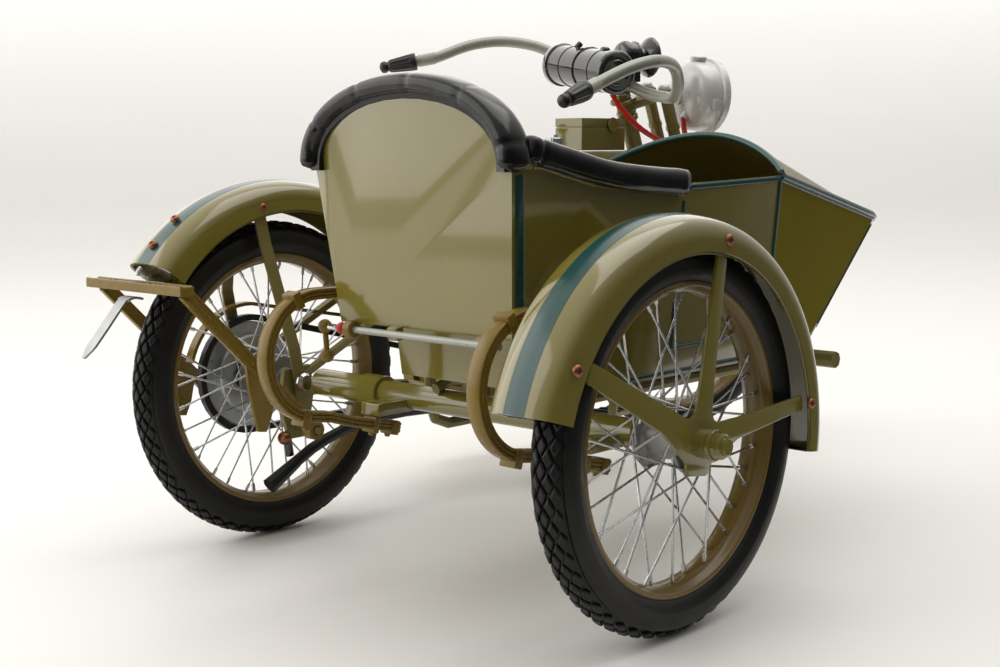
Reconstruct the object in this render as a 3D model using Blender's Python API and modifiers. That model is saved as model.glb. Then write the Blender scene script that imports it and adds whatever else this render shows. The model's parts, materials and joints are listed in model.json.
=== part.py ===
"""A one-sixth scale early V-twin motorcycle with a sidecar on its right-hand side.

All sizes below are in millimetres from the datum: the ground, straight under the rear axle,
on the motorcycle's centre plane. +Y is forward, +X is towards the sidecar, +Z is up.
at() turns such a place into metres, with the origin under the middle of the whole model.
"""

import math

import bmesh
import bpy
from mathutils import Euler, Matrix, Vector

MM = 0.001
SHEET = 1.0  # pressed fenders
ORIGIN = (46.52, 120.33, 0.0)  # under the middle of the whole model, from the datum

# wheels
WHEEL_R = 59.25
AXLE_Z = WHEEL_R
TYRE_TUBE_R = 7.26
TYRE_CENTRE_R = WHEEL_R - TYRE_TUBE_R
RIM_LIP_R = 47.15
RIM_HALF_WIDTH = 5.05
SPOKES = 36
SPOKE_REACH = 43.2
SPOKE_R = 0.46
HUB_BORE_R = 2.4
AXLE_R = 2.0
WHEEL_STEPS = 32

# motorcycle
WHEELBASE = 264.0
HEAD = (0.0, 222.0, 150.0)  # middle of the steering head
RAKE = math.radians(22.0)
STEERING_TURN = math.radians(-19.6)  # the bars rest turned towards the sidecar
FRAME_TUBE_R = 2.4
STAY_TUBE_R = 1.8
SEAT_TUBE_Y = 84.0
CRANK = (0.0, 130.0, 50.0)
CYLINDER_ANGLE = math.radians(22.5)
CYLINDER_LIFT = 0.6
SPROCKET_X = -13.6
GEARBOX_SPROCKET = (100.0, 47.0)  # y and z
STAND_FOOT = (-55.5, 97.5)  # y and z of the folded-up foot bar, where the clip swings
STAND_ARM_X = 24.6

# sidecar
SIDE_WHEEL = (184.1, 5.0, AXLE_Z)
BODY_X = 118.5
BODY_SHEET = 1.5
FLOOR_Z = 70.0
LEDGE_Z = 90.0
SHOULDER_Z = 139.0
BODY_REAR_Y = -34.0
BODY_RECLINE = 5.0 / 48.0  # rearward lean of the back panel for each mm of height
BODY_FLARE = 4.7 / 48.0  # how much wider each side gets for each mm of height
BODY_HALF_WIDTH = 37.3  # at the ledge
BOW_Y = 100.0  # where the sides start to close to the bow
BOW_TIP = (238.0, 112.5)
BOW_FOOT = (192.0, FLOOR_Z)
SIDE_FENDER_CENTRE = (3.0, 55.0)
SPRING_XS = (70.0, 163.0)
SPRING_CENTRE = (-36.0, 78.0)
SPRING_R = 20.2
SPRING_HALF_THICKNESS = 1.8

ENAMEL = (0.20, 0.165, 0.055)
MOULDED_TAN = (0.215, 0.135, 0.045)


def at(x, y, z):
    return (Vector((x, y, z)) - Vector(ORIGIN)) * MM


def clear_scene():
    for leftover in list(bpy.data.objects):
        bpy.data.objects.remove(leftover)


def collection(name, hidden=False):
    made = bpy.data.collections.new(name)
    bpy.context.scene.collection.children.link(made)
    made.hide_render = hidden
    return made


def material(name, colour, roughness, metallic=0.0):
    made = bpy.data.materials.new(name)
    made.use_nodes = True
    shader = made.node_tree.nodes["Principled BSDF"]
    shader.inputs["Base Color"].default_value = (*colour, 1.0)
    shader.inputs["Roughness"].default_value = roughness
    shader.inputs["Metallic"].default_value = metallic
    return made


clear_scene()
PARTS = collection("sidecar_motorcycle")
TOOLS = collection("cutters", hidden=True)
OLIVE = material("olive_enamel", ENAMEL, 0.25)
TAN = material("tan_moulding", MOULDED_TAN, 0.4)
BLACK = material("black_enamel", (0.01, 0.01, 0.012), 0.25)
RUBBER = material("tyre_rubber", (0.014, 0.014, 0.014), 0.7)
LEATHER = material("black_leather", (0.015, 0.015, 0.016), 0.4)
STEEL = material("bright_steel", (0.7, 0.7, 0.7), 0.25, 1.0)
SATIN = material("satin_grey", (0.33, 0.35, 0.31), 0.35, 0.4)
SILVER = material("silver_paint", (0.7, 0.71, 0.72), 0.3, 0.6)
CAST = material("cast_alloy", (0.42, 0.42, 0.4), 0.5, 0.6)
GLASS = material("lamp_glass", (0.85, 0.9, 0.9), 0.05)
RED_HOSE = material("red_hose", (0.6, 0.02, 0.01), 0.4)


# ---------------------------------------------------------------- modelling helpers


def place(name, data, look):
    """A new object in the parts collection, at the world's origin."""
    piece = bpy.data.objects.new(name, data)
    PARTS.objects.link(piece)
    data.materials.clear()
    data.materials.append(look)
    return piece


def from_bmesh(name, shape, look):
    mesh = bpy.data.meshes.new(name)
    shape.to_mesh(mesh)
    shape.free()
    return place(name, mesh, look)


def solid(piece):
    """The piece as one plain closed mesh with its faces out: modifiers applied, curve caps welded."""
    bpy.context.view_layer.update()
    graph = bpy.context.evaluated_depsgraph_get()
    mesh = bpy.data.meshes.new_from_object(piece.evaluated_get(graph))
    shape = bmesh.new()
    shape.from_mesh(mesh)
    bmesh.ops.remove_doubles(shape, verts=shape.verts, dist=1e-6)
    bmesh.ops.recalc_face_normals(shape, faces=shape.faces)
    shape.to_mesh(mesh)
    shape.free()
    name = piece.name
    matrix = piece.matrix_world.copy()
    look = piece.data.materials[0]
    bpy.data.objects.remove(piece)
    made = place(name, mesh, look)
    made.matrix_world = matrix
    return made


def smooth_shaded(piece, angle=35.0):
    piece.data.shade_smooth()
    piece.data.set_sharp_from_angle(angle=math.radians(angle))
    return piece


def union(name, pieces, look):
    """Overlapping pieces joined to one closed body."""
    base = solid(pieces[0])
    tools = bpy.data.collections.new("tools")
    TOOLS.children.link(tools)
    for other in pieces[1:]:
        tool = solid(other)
        PARTS.objects.unlink(tool)
        tools.objects.link(tool)
    join = base.modifiers.new("join", "BOOLEAN")
    join.operation = "UNION"
    join.operand_type = "COLLECTION"
    join.collection = tools
    join.solver = "EXACT"
    joined = solid(base)
    for tool in list(tools.objects):
        bpy.data.objects.remove(tool)
    bpy.data.collections.remove(tools)
    joined.name = name
    joined.data.materials.clear()
    joined.data.materials.append(look)
    return smooth_shaded(joined)


def cut(piece, cutter, operation="DIFFERENCE"):
    """The piece less the cutter, or only what both share."""
    name = piece.name
    piece = solid(piece)
    cutter = solid(cutter)
    step = piece.modifiers.new("cut", "BOOLEAN")
    step.operation = operation
    step.object = cutter
    step.solver = "EXACT"
    made = solid(piece)
    made.name = name
    bpy.data.objects.remove(cutter)
    return made


def box(name, low, high, look, turn=0.0):
    """A box between two corners, turned about its own X axis by turn degrees."""
    shape = bmesh.new()
    bmesh.ops.create_cube(shape, size=1.0)
    piece = from_bmesh(name, shape, look)
    size = (Vector(high) - Vector(low)) * MM
    piece.data.transform(Matrix.Diagonal((*size, 1.0)))
    piece.rotation_euler = (math.radians(turn), 0.0, 0.0)
    piece.location = (at(*low) + at(*high)) / 2
    return piece


def rod(name, start, end, radius, look, end_radius=None, sides=8):
    """A round bar, or a cone, between two places."""
    ends = at(*start), at(*end)
    along = ends[1] - ends[0]
    shape = bmesh.new()
    bmesh.ops.create_cone(
        shape,
        cap_ends=True,
        segments=sides,
        radius1=radius * MM,
        radius2=(radius if end_radius is None else end_radius) * MM,
        depth=along.length,
    )
    piece = from_bmesh(name, shape, look)
    piece.rotation_euler = along.to_track_quat("Z", "Y").to_euler()
    piece.location = (ends[0] + ends[1]) / 2
    return piece


def ball(name, centre, radius, look, sides=8):
    shape = bmesh.new()
    bmesh.ops.create_uvsphere(shape, u_segments=sides, v_segments=sides // 2, radius=radius * MM)
    piece = from_bmesh(name, shape, look)
    piece.location = at(*centre)
    return piece


def aim(axis):
    """Turns local Z to the axis. For X and Y, local angles run from forward or right towards up."""
    if axis == "X":
        return Matrix(((0, 0, 1), (1, 0, 0), (0, 1, 0))).to_euler()
    if axis == "Y":
        return Matrix(((1, 0, 0), (0, 0, -1), (0, 1, 0))).to_euler()
    return Euler((0.0, 0.0, 0.0))


def turned(name, profile, centre, look, axis="X", steps=WHEEL_STEPS, ring=False, span=None, sheet=0.0):
    """A profile of (radius, place along the axis) points turned about an axis through centre.

    ring closes the profile, span = (from, to) in degrees makes part of a turn, and sheet
    gives an open profile a thickness.
    """
    start, stop = span or (0.0, 360.0)
    mesh = bpy.data.meshes.new(name)
    rim = [
        (r * MM * math.cos(math.radians(start)), r * MM * math.sin(math.radians(start)), h * MM)
        for r, h in profile
    ]
    edges = [(i, i + 1) for i in range(len(rim) - 1)]
    if ring:
        edges.append((len(rim) - 1, 0))
    mesh.from_pydata(rim, edges, [])
    piece = place(name, mesh, look)
    piece.rotation_euler = aim(axis)
    piece.location = at(*centre)
    screw = piece.modifiers.new("turn", "SCREW")
    screw.axis = "Z"
    screw.angle = math.radians(stop - start)
    screw.steps = steps
    screw.render_steps = steps
    screw.use_merge_vertices = True
    screw.merge_threshold = 0.00001
    if sheet:
        thicken = piece.modifiers.new("sheet", "SOLIDIFY")
        thicken.thickness = sheet * MM
        thicken.offset = 0.0
        thicken.use_even_offset = True
    return smooth_shaded(solid(piece))


def through(points, steps=6):
    """Places on a smooth curve through the given points."""
    knots = [Vector(p) for p in points]
    knots = [2 * knots[0] - knots[1], *knots, 2 * knots[-1] - knots[-2]]
    route = []
    for before, start, end, after in zip(knots, knots[1:], knots[2:], knots[3:]):
        for i in range(steps):
            t = i / steps
            route.append(
                0.5
                * (
                    2 * start
                    + (end - before) * t
                    + (2 * before - 5 * start + 4 * end - after) * t**2
                    + (3 * start - before - 3 * end + after) * t**3
                )
            )
    return [*route, knots[-2]]


def tube(name, points, radius, look, resolution=2):
    """A round tube along straight runs between the points."""
    curve = bpy.data.curves.new(name, "CURVE")
    curve.dimensions = "3D"
    curve.bevel_depth = radius * MM
    curve.bevel_resolution = resolution
    curve.use_fill_caps = True
    spline = curve.splines.new("POLY")
    spline.points.add(len(points) - 1)
    for knot, point in zip(spline.points, points):
        knot.co = (*at(*point), 1.0)
    return solid(place(name, curve, look))


def plate(name, outline, thickness, look, middle=0.0, facing="X"):
    """A flat outline with a thickness about the plane at middle.

    The outline is (y, z) for a plate facing X, (x, z) for Y and (x, y) for Z.
    """
    curve = bpy.data.curves.new(name, "CURVE")
    curve.dimensions = "2D"
    curve.fill_mode = "BOTH"
    curve.extrude = thickness / 2 * MM
    spline = curve.splines.new("POLY")
    spline.points.add(len(outline) - 1)
    for knot, (u, v) in zip(spline.points, outline):
        knot.co = (u * MM, v * MM, 0.0, 1.0)
    spline.use_cyclic_u = True
    piece = place(name, curve, look)
    piece.rotation_euler = aim(facing)
    offset = {"X": (middle, 0, 0), "Y": (0, middle, 0), "Z": (0, 0, middle)}[facing]
    piece.location = at(*offset)
    return solid(piece)


def arc(centre, radius, start, stop, steps):
    """Points on an arc, with the angles in degrees."""
    angles = [math.radians(start + (stop - start) * i / steps) for i in range(steps + 1)]
    return [(centre[0] + radius * math.cos(a), centre[1] + radius * math.sin(a)) for a in angles]


def strip(path, half_thickness):
    """The outline of a strip that follows a path of points in its plane."""
    sides = ([], [])
    for i, point in enumerate(path):
        before = Vector(path[max(i - 1, 0)])
        after = Vector(path[min(i + 1, len(path) - 1)])
        normal = (after - before).normalized().orthogonal() * half_thickness
        sides[0].append(tuple(Vector(point) + normal))
        sides[1].append(tuple(Vector(point) - normal))
    return sides[0] + sides[1][::-1]


def hull(name, points, look):
    """The smallest convex solid around the points."""
    shape = bmesh.new()
    for point in points:
        shape.verts.new(at(*point))
    bmesh.ops.convex_hull(shape, input=shape.verts)
    return from_bmesh(name, shape, look)


def joint_empty(name, place_mm, rotation=None, parent=None):
    """An empty on a joint's axis, for the moving pieces to hang from."""
    empty = bpy.data.objects.new(name, None)
    PARTS.objects.link(empty)
    empty.location = at(*place_mm)
    if rotation:
        empty.rotation_euler = rotation
    bpy.context.view_layer.update()
    if parent:
        keep_place(empty, parent)
    return empty


def keep_place(piece, parent):
    bpy.context.view_layer.update()
    piece.parent = parent
    piece.matrix_parent_inverse = parent.matrix_world.inverted()


def hang(pieces, parent):
    for piece in pieces:
        keep_place(piece, parent)


# ---------------------------------------------------------------- wheels


def laced_hub(name, centre, profile, flanges, look):
    """A turned hub with its crossed wire spokes, which end just short of the rim."""
    hub = turned(name, profile, centre, look, steps=14, ring=True)
    spokes = bmesh.new()
    for i in range(SPOKES):
        side = 1 if i % 2 else -1
        lean = 1 if i % 4 < 2 else -1
        rim_angle = 2 * math.pi * (i + 0.5 * lean * 0.2) / SPOKES
        hub_angle = rim_angle + lean * math.radians(68.0)
        flange_x, flange_r = flanges[side]
        flange = (flange_r * math.cos(hub_angle), flange_r * math.sin(hub_angle))
        start = Vector((flange_x + 0.55 * lean, *flange))
        end = Vector((1.2 * side, SPOKE_REACH * math.cos(rim_angle), SPOKE_REACH * math.sin(rim_angle)))
        along = (end - start) * MM
        turn = along.to_track_quat("Z", "Y").to_matrix().to_4x4()
        shift = Matrix.Translation(at(*centre) + (start + end) / 2 * MM)
        bmesh.ops.create_cone(
            spokes,
            cap_ends=True,
            segments=3,
            radius1=SPOKE_R * MM,
            radius2=SPOKE_R * MM,
            depth=along.length,
            matrix=shift @ turn,
        )
    wires = from_bmesh("wires", spokes, look)
    hub.modifiers.clear()
    join = hub.modifiers.new("join", "BOOLEAN")
    join.operation = "UNION"
    join.object = wires
    join.solver = "EXACT"
    join.use_self = True
    joined = solid(hub)
    bpy.data.objects.remove(wires)
    return smooth_shaded(joined)


def rim(name, centre):
    lip, half = RIM_LIP_R, RIM_HALF_WIDTH
    profile = [
        (lip, half),
        (45.0, half - 1.6),
        (45.0, 1.6 - half),
        (lip, -half),
        (45.5, -half),
        (43.8, 2.0 - half),
        (43.8, half - 2.0),
        (45.5, half),
    ]
    return turned(name, profile, centre, OLIVE, ring=True)


def tyre(name, centre):
    round_part = [
        (TYRE_CENTRE_R + TYRE_TUBE_R * math.cos(a), TYRE_TUBE_R * math.sin(a))
        for a in [math.radians(d) for d in (126, 84, 44, 0, -44, -84, -126)]
    ]
    bead = [(47.6, -3.1), (45.4, -2.9), (45.4, 2.9), (47.6, 3.1)]
    return turned(name, round_part + bead, centre, RUBBER, ring=True)


def wheel(prefix, centre, hub_profile, flanges):
    """Tyre, rim and laced hub, hung from an empty on the wheel's axle."""
    pieces = [
        tyre(prefix + "_tyre", centre),
        rim(prefix + "_rim", centre),
        laced_hub(prefix + "_spokes", centre, hub_profile, flanges, STEEL),
    ]
    axle = joint_empty(prefix + "_axle_line", centre)
    hang(pieces, axle)
    return axle


def hub_profile(half, barrel_r, flange_r):
    """A barrel with a flange near each end and a plain bore."""
    inner, outer = half - 2.4, half - 1.2
    return [
        (HUB_BORE_R, half),
        (4.2, half),
        (4.6, outer),
        (flange_r, outer),
        (flange_r, inner),
        (barrel_r, inner - 1.0),
        (barrel_r, 1.0 - inner),
        (flange_r, -inner),
        (flange_r, -outer),
        (4.6, -outer),
        (4.2, -half),
        (HUB_BORE_R, -half),
    ]


def rear_wheel():
    axle = wheel("rear", (0, 0, AXLE_Z), hub_profile(9.6, 5.2, 9.0), {1: (7.8, 8.2), -1: (-7.8, 8.2)})
    drum = [
        (HUB_BORE_R, -10.0),
        (15.0, -10.0),
        (15.6, -10.6),
        (15.6, -12.9),
        (20.0, -12.9),
        (20.0, -14.2),
        (15.0, -14.2),
        (15.0, -16.2),
        (5.0, -16.2),
        (5.0, -17.2),
        (HUB_BORE_R, -17.2),
    ]
    hang([turned("brake_drum", drum, (0, 0, AXLE_Z), STEEL, ring=True, steps=20)], axle)


def drive_chain():
    """A closed band round the rear sprocket and the gearbox sprocket."""
    outline = chain_line(23.0, 10.5)
    inside = chain_line(20.6, 8.1)
    band = plate("drive_chain", outline, 2.6, BLACK, SPROCKET_X)
    return cut(band, plate("inside", inside, 6.0, BLACK, SPROCKET_X))


def chain_line(rear_r, front_r):
    front_y, front_z = GEARBOX_SPROCKET
    reach = math.hypot(front_y, AXLE_Z - front_z)
    slope = math.degrees(math.atan2(front_z - AXLE_Z, front_y))
    wrap = math.degrees(math.acos((rear_r - front_r) / reach))
    rear = arc((0, AXLE_Z), rear_r, slope + wrap, slope + 360 - wrap, 20)
    front = arc(GEARBOX_SPROCKET, front_r, slope - wrap, slope + wrap, 8)
    return rear + front


# ---------------------------------------------------------------- motorcycle frame


def frame_loop():
    """Steering head, top and tank tubes, down tube, cradle and seat tube in one."""
    head_axis = Vector((0, -math.sin(RAKE), math.cos(RAKE)))
    head_low = Vector(HEAD) - 11.5 * head_axis
    head_high = Vector(HEAD) + 11.5 * head_axis
    bore_low = Vector(HEAD) - 20 * head_axis
    bore_high = Vector(HEAD) + 20 * head_axis
    seat_top = (0, SEAT_TUBE_Y, 122)
    loop = [
        (0, 222.5, 144),
        (0, 175.5, 40),
        (0, 171, 32),
        (0, 163, 28),
        (0, 95, 28),
        (0, 87, 31),
        (0, SEAT_TUBE_Y, 38),
        seat_top,
    ]
    pieces = [
        rod("head", head_low, head_high, 4.0, OLIVE, sides=18),
        tube("loop", loop, FRAME_TUBE_R, OLIVE),
        rod("tank_rail", (0, 223, 143), (0, SEAT_TUBE_Y, 114.5), 1.9, OLIVE),
    ]
    frame = union("frame_loop", pieces, OLIVE)
    return smooth_shaded(cut(frame, rod("bore", bore_low, bore_high, 2.7, OLIVE, sides=18)))


def rear_stays():
    """Seat stays, chain stays and axle plates on both sides, tied by two cross bars."""
    bar_y = SEAT_TUBE_Y + 4.6
    pieces = [
        rod("upper_bar", (-19.0, bar_y, 103), (15, bar_y, 103), STAY_TUBE_R, OLIVE),
        rod("lower_bar", (-18.2, bar_y, 44), (15, bar_y, 44), STAY_TUBE_R, OLIVE),
    ]
    for side, x_axle, x_low, x_high in ((1, 15.0, 15.0, 15.0), (-1, -20.4, -18.2, -19.0)):
        ear = [(-6, 64), (6, 65), (8, 56), (4.5, 38), (-4, 38), (-8, 50)]
        pieces += [
            rod("seat_stay", (x_axle, 0, AXLE_Z), (x_high, bar_y, 103), STAY_TUBE_R, OLIVE),
            rod("chain_stay", (x_axle, 0, AXLE_Z - 3), (x_low, bar_y, 44), STAY_TUBE_R, OLIVE),
            plate("axle_plate", ear, 2.0, OLIVE, x_axle),
            rod("stand_pin", (x_axle - side * 0.4, 0, 42), (side * 27.6, 0, 42), 1.5, OLIVE),
        ]
    stays = union("rear_stays", pieces, OLIVE)
    bore = rod("axle_bore", (-30, 0, AXLE_Z), (30, 0, AXLE_Z), AXLE_R + 0.3, OLIVE)
    return smooth_shaded(cut(stays, bore))


def rear_axle():
    profile = [(0, -26.0), (2.8, -26.0), (3.6, -25.0), (3.6, -22.6), (AXLE_R, -22.6)]
    profile += [(AXLE_R, 18.1), (3.6, 18.1), (3.6, 20.4), (2.8, 21.2), (0, 21.2)]
    return turned("rear_axle", profile, (0, 0, AXLE_Z), STEEL, steps=12)


def rear_fender():
    section = [(62.5, 12.0), (68.5, 11.8), (71.5, 9.4), (73.0, 5.0), (73.3, 0.0)]
    section += [(r, -h) for r, h in section[-2::-1]]
    return turned("rear_fender", section, (0, 3, 60), OLIVE, steps=18, span=(8.0, 141.8), sheet=SHEET)


def fender_stay():
    """A flat strap from axle to axle that passes over the tyre, inside the fender."""
    crown = [(-10.7, 112), (-10.3, 121), (-7.0, 125.6), (0, 126.8), (7.0, 125.6), (10.3, 121), (10.7, 112)]
    path = [(-17.9, 54), (-17.9, 92), *crown, (17.3, 72), (17.3, 54)]
    strap = plate("fender_stay", strip(path, 0.4), 5.0, OLIVE, 0.0, "Y")
    lean = math.atan2(12.0, 66.0)
    pivot = at(0, 0, AXLE_Z)
    turn = Matrix.Translation(pivot) @ Matrix.Rotation(lean, 4, "X") @ Matrix.Translation(-pivot)
    strap.matrix_world = turn @ strap.matrix_world
    bore = rod("axle_bore", (-30, 0, AXLE_Z), (30, 0, AXLE_Z), AXLE_R + 0.3, OLIVE)
    return smooth_shaded(cut(strap, bore))


def chain_guard():
    """The primary case on the left of the engine, with the guard over the rear chain."""
    guard_path = arc((0, AXLE_Z), 27.0, 165, 86, 12) + [(60, 75.5), (90, 66.0)]
    case = arc((130, 50), 12.5, -90, 90, 8) + arc((102, 47), 11.0, 90, 270, 8)
    pieces = [
        plate("guard", strip(guard_path, 0.7), 3.8, TAN, -14.8),
        plate("case", case, 6.4, TAN, -20.6),
        box("link", (-18.4, 86.5, 54), (-15.0, 97, 66.5), TAN),
    ]
    return union("chain_guard", pieces, OLIVE)


# ---------------------------------------------------------------- engine


def engine_case():
    x, y, z = CRANK
    body = [(0, -12), (15.5, -12), (18.2, -9), (18.2, 9), (15.5, 12), (0, 12)]
    chest = arc((y, z), 9.0, 90, 270, 8) + arc((y + 24, z + 8), 6.0, -90, 90, 6)
    pieces = [
        turned("crankcase", body, CRANK, CAST, steps=24),
        plate("timing_chest", chest, 5.0, CAST, 14.0),
        rod("magneto", (2, y + 21.0, z - 2), (2, y + 21.0, z + 14), 5.2, CAST),
        box("front_lug", (-3, y + 14, z - 19.2), (3, y + 28, z - 8), CAST),
        box("rear_lug", (-3, y - 18, z - 19), (3, y - 10, z - 8), CAST),
    ]
    return union("engine_case", pieces, CAST)


def cylinder(name, lean):
    """A finned barrel and head, modelled upright and then leaned from the crank."""
    fins = [(0, 18.6), (6.4, 18.6)]
    for i in range(8):
        height = 21.0 + 3.7 * i
        radius = (8.0, 9.6, 9.6, 9.6, 9.6, 9.6, 8.6, 8.6)[i]
        fins += [(6.6, height), (radius, height), (radius, height + 1.3), (6.6, height + 1.3)]
    fins += [(5.0, 52.6), (0, 52.6)]
    x, y, z = CRANK
    barrel = turned(name, fins, (x, y, z + CYLINDER_LIFT), CAST, axis="Z", steps=10)
    barrel.rotation_euler = (-lean, 0.0, 0.0)
    return solid(barrel)


def engine():
    engine_case()
    cylinder("front_cylinder", CYLINDER_ANGLE)
    cylinder("rear_cylinder", -CYLINDER_ANGLE)
    y = CRANK[1]
    carburettor = [
        rod("bowl", (-14.5, y, 78), (-14.5, y, 95), 4.2, CAST),
        rod("choke", (-23, y + 0.3, 89), (-2.0, y + 0.3, 89), 3.0, CAST),
    ]
    union("carburettor", carburettor, CAST)
    gearbox = [
        box("shell", (-9.5, 91.5, 38), (12, 109, 61), CAST),
        rod("output", (-16.0, *GEARBOX_SPROCKET), (-9, *GEARBOX_SPROCKET), 7.5, CAST),
        rod("lid", (1, 99, 60), (1, 99, 64), 6.5, CAST),
        box("foot", (-3, 96, 30.8), (3, 104, 39), CAST),
    ]
    union("gearbox", gearbox, CAST)


def exhaust():
    """Two header pipes on the right, a silencer and the curved tail pipe."""
    front_knots = [(8.5, 157, 92), (14, 167, 90), (18.5, 170, 74), (19, 164, 52), (18.8, 146, 38)]
    rear_knots = [(8.5, 104, 92), (16, 100, 90), (20.5, 106, 78), (21.5, 114, 62), (20, 117, 48)]
    tail_knots = [(18.8, 90, 37.4), (18.8, 66, 40.5), (18.8, 40, 41), (18.8, 20, 38.5), (18.6, 4, 33.5)]
    front_run = through([*front_knots, (18.8, 118, 34.8)], 3)
    rear_run = through([*rear_knots, (18.8, 117, 35)], 2)
    tail = through([*tail_knots, (18.4, -9, 26.5)], 2)
    pieces = [
        rod("silencer", (18.8, 122, 34.5), (18.8, 88, 37.5), 4.6, BLACK),
        tube("front_header", front_run, 2.2, BLACK),
        tube("rear_header", rear_run, 2.2, BLACK),
        tube("tail", tail, 2.2, BLACK),
        rod("tail_tip", (18.5, -3.5, 29.6), (18.3, -16, 22.6), 2.3, BLACK, end_radius=3.1),
    ]
    return union("exhaust", pieces, BLACK)


# ---------------------------------------------------------------- tank, saddle and controls


def rounded_box_outline(low, high, radius, steps=4):
    corners = ((high[0], high[1], 0), (low[0], high[1], 90), (low[0], low[1], 180), (high[0], low[1], 270))
    outline = []
    for u, v, start in corners:
        inward_u = math.copysign(radius, low[0] + high[0] - 2 * u)
        inward_v = math.copysign(radius, low[1] + high[1] - 2 * v)
        outline += arc((u + inward_u, v + inward_v), radius, start, start + 90, steps)
    return outline


def fuel_tank():
    """A long flat-sided tank split by a channel for the frame's rail."""
    tank = plate("fuel_tank", rounded_box_outline((-17, 119), (17, 213.5), 11), 24.5, OLIVE, 131.2, "Z")
    bevel = solid(tank)
    bevel_step = bevel.modifiers.new("edge", "BEVEL")
    bevel_step.width = 2.2 * MM
    bevel_step.segments = 2
    bevel_step.limit_method = "ANGLE"
    slot = hull(
        "slot",
        [
            (x, y, z)
            for x in (-2.8, 2.8)
            for y, z in ((112, 100), (112, 123.2), (222, 145.6), (222, 100))
        ],
        OLIVE,
    )
    rail_clear = cut(bevel, slot)
    head_clear = rod("head_clear", (0, 232.3, 124.5), (0, 211, 177), 5.0, OLIVE, sides=18)
    return smooth_shaded(cut(rail_clear, head_clear))


def tank_fittings():
    fuel = [(0, 143.8), (3.0, 143.8), (3.0, 145.6), (4.0, 145.6), (4.0, 149.6), (2.0, 149.6)]
    fuel += [(2.0, 151.0), (0, 151.0)]
    oil = [(0, 143.8), (2.6, 143.8), (2.6, 145.2), (3.5, 145.2), (3.5, 148.4), (0, 148.4)]
    turned("fuel_cap", fuel, (7.5, 156, 0), SILVER, axis="Z", steps=18)
    turned("oil_cap", oil, (8.0, 142, 0), SILVER, axis="Z", steps=18)
    walls = box("toolbox", (-8.0, 174.5, 143.8), (8.0, 206, 154.2), OLIVE)
    inside = box("inside", (-6.9, 175.6, 145.0), (6.9, 204.9, 160.0), OLIVE)
    smooth_shaded(cut(walls, inside))
    lid_shape = [
        box("lid", (-8.0, 174.5, 154.5), (8.0, 206, 158.5), OLIVE),
        rod("hasp_root", (7.4, 196.0, 157.0), (9.0, 196.0, 157.0), 1.3, OLIVE),
        rod("hasp", (8.35, 196.0, 155.6), (9.15, 196.0, 155.6), 3.4, OLIVE, sides=12),
        rod("hinge", (-8.3, 176.5, 155.6), (-8.3, 204.0, 155.6), 1.0, OLIVE, sides=8),
    ]
    lid = union("toolbox_lid", lid_shape, OLIVE)
    hang([lid], joint_empty("toolbox_hinge_line", (-8.3, 190.0, 155.6)))


def saddle():
    """The pan saddle as a plain solid, its springs and the sprung post below it."""
    outline = [(0, 113), (4, 112), (5.5, 106), (9, 96), (18, 84), (21, 74), (17, 64), (9, 60.5), (0, 59.5)]
    outline += [(-u, v) for u, v in outline[-2:0:-1]]
    seat = plate("saddle", outline, 7.0, LEATHER, 133.5, "Z")
    edge = seat.modifiers.new("edge", "BEVEL")
    edge.width = 2.0 * MM
    edge.segments = 2
    edge.limit_method = "ANGLE"
    smooth_shaded(solid(seat))
    pieces = [
        rod("post", (0, SEAT_TUBE_Y, 122.6), (0, SEAT_TUBE_Y, 126.5), 2.2, STEEL),
        tube("nose_bar", [(0, 106, 129.1), (0, 104, 125.2), (0, 82, 124.5)], 1.5, STEEL),
        rod("rear_bar", (-12.1, 72.3, 124.7), (12.1, 72.3, 124.7), 1.2, STEEL),
        rod("link", (0.1, 84, 124.4), (0.1, 72.1, 124.6), 1.4, STEEL),
    ]
    for side in (-1, 1):
        coil = [(0, 123.4), (2.9, 123.4)]
        for i in range(2):
            coil += [(2.2, 125.0 + 2.0 * i), (2.9, 126.0 + 2.0 * i)]
        coil += [(2.9, 129.6), (0, 129.6)]
        pieces.append(turned("coil", coil, (side * 11, 72, 0), STEEL, axis="Z", steps=8))
    union("saddle_springs", pieces, STEEL)


def footboards():
    for side, name in ((1, "footboard_right"), (-1, "footboard_left")):
        inner, outer = (25.5, 39.5) if side > 0 else (-39.5, -25.5)
        board = plate("board", rounded_box_outline((inner, 122), (outer, 176), 3.5), 1.8, BLACK, 27.0, "Z")
        arms = [
            rod("arm", (side * 2.9, y, 24.9), (side * 37, y, 24.9), 1.4, BLACK, sides=10)
            for y in (132, 160)
        ]
        union(name, [board, *arms], BLACK)


def controls():
    kick = [
        rod("boss", (12.4, 99, 50), (27.0, 99, 50), 2.2, STEEL),
        rod("arm", (26.0, 99, 50), (27.0, 96, 86), 1.5, STEEL),
        rod("pedal", (26.4, 96, 84.5), (39, 96, 84.5), 2.3, BLACK),
    ]
    hang([union("kick_starter", kick, STEEL)], joint_empty("kick_line", (20, 99, 50)))
    shift = [
        rod("pivot", (-20.8, 150, 113.5), (-17.4, 150, 113.5), 2.6, BLACK),
        rod("lever", (-19.8, 150, 113.5), (-20.8, 154, 152), 1.0, BLACK, sides=8),
        ball("knob", (-20.9, 154.3, 154), 2.6, BLACK),
    ]
    hang([union("shift_lever", shift, BLACK)], joint_empty("shift_line", (-19, 150, 113.5)))
    brake = [
        rod("pivot", (26.2, 181, 31), (31, 181, 31), 2.2, BLACK),
        rod("lever", (29.6, 181, 31), (29.6, 197, 42), 1.2, BLACK, sides=8),
        box("pad", (26.4, 192.5, 41), (32.8, 201, 43), BLACK, turn=20),
    ]
    hang([union("brake_pedal", brake, BLACK)], joint_empty("brake_line", (29, 181, 31)))


# ---------------------------------------------------------------- rear stand


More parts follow.
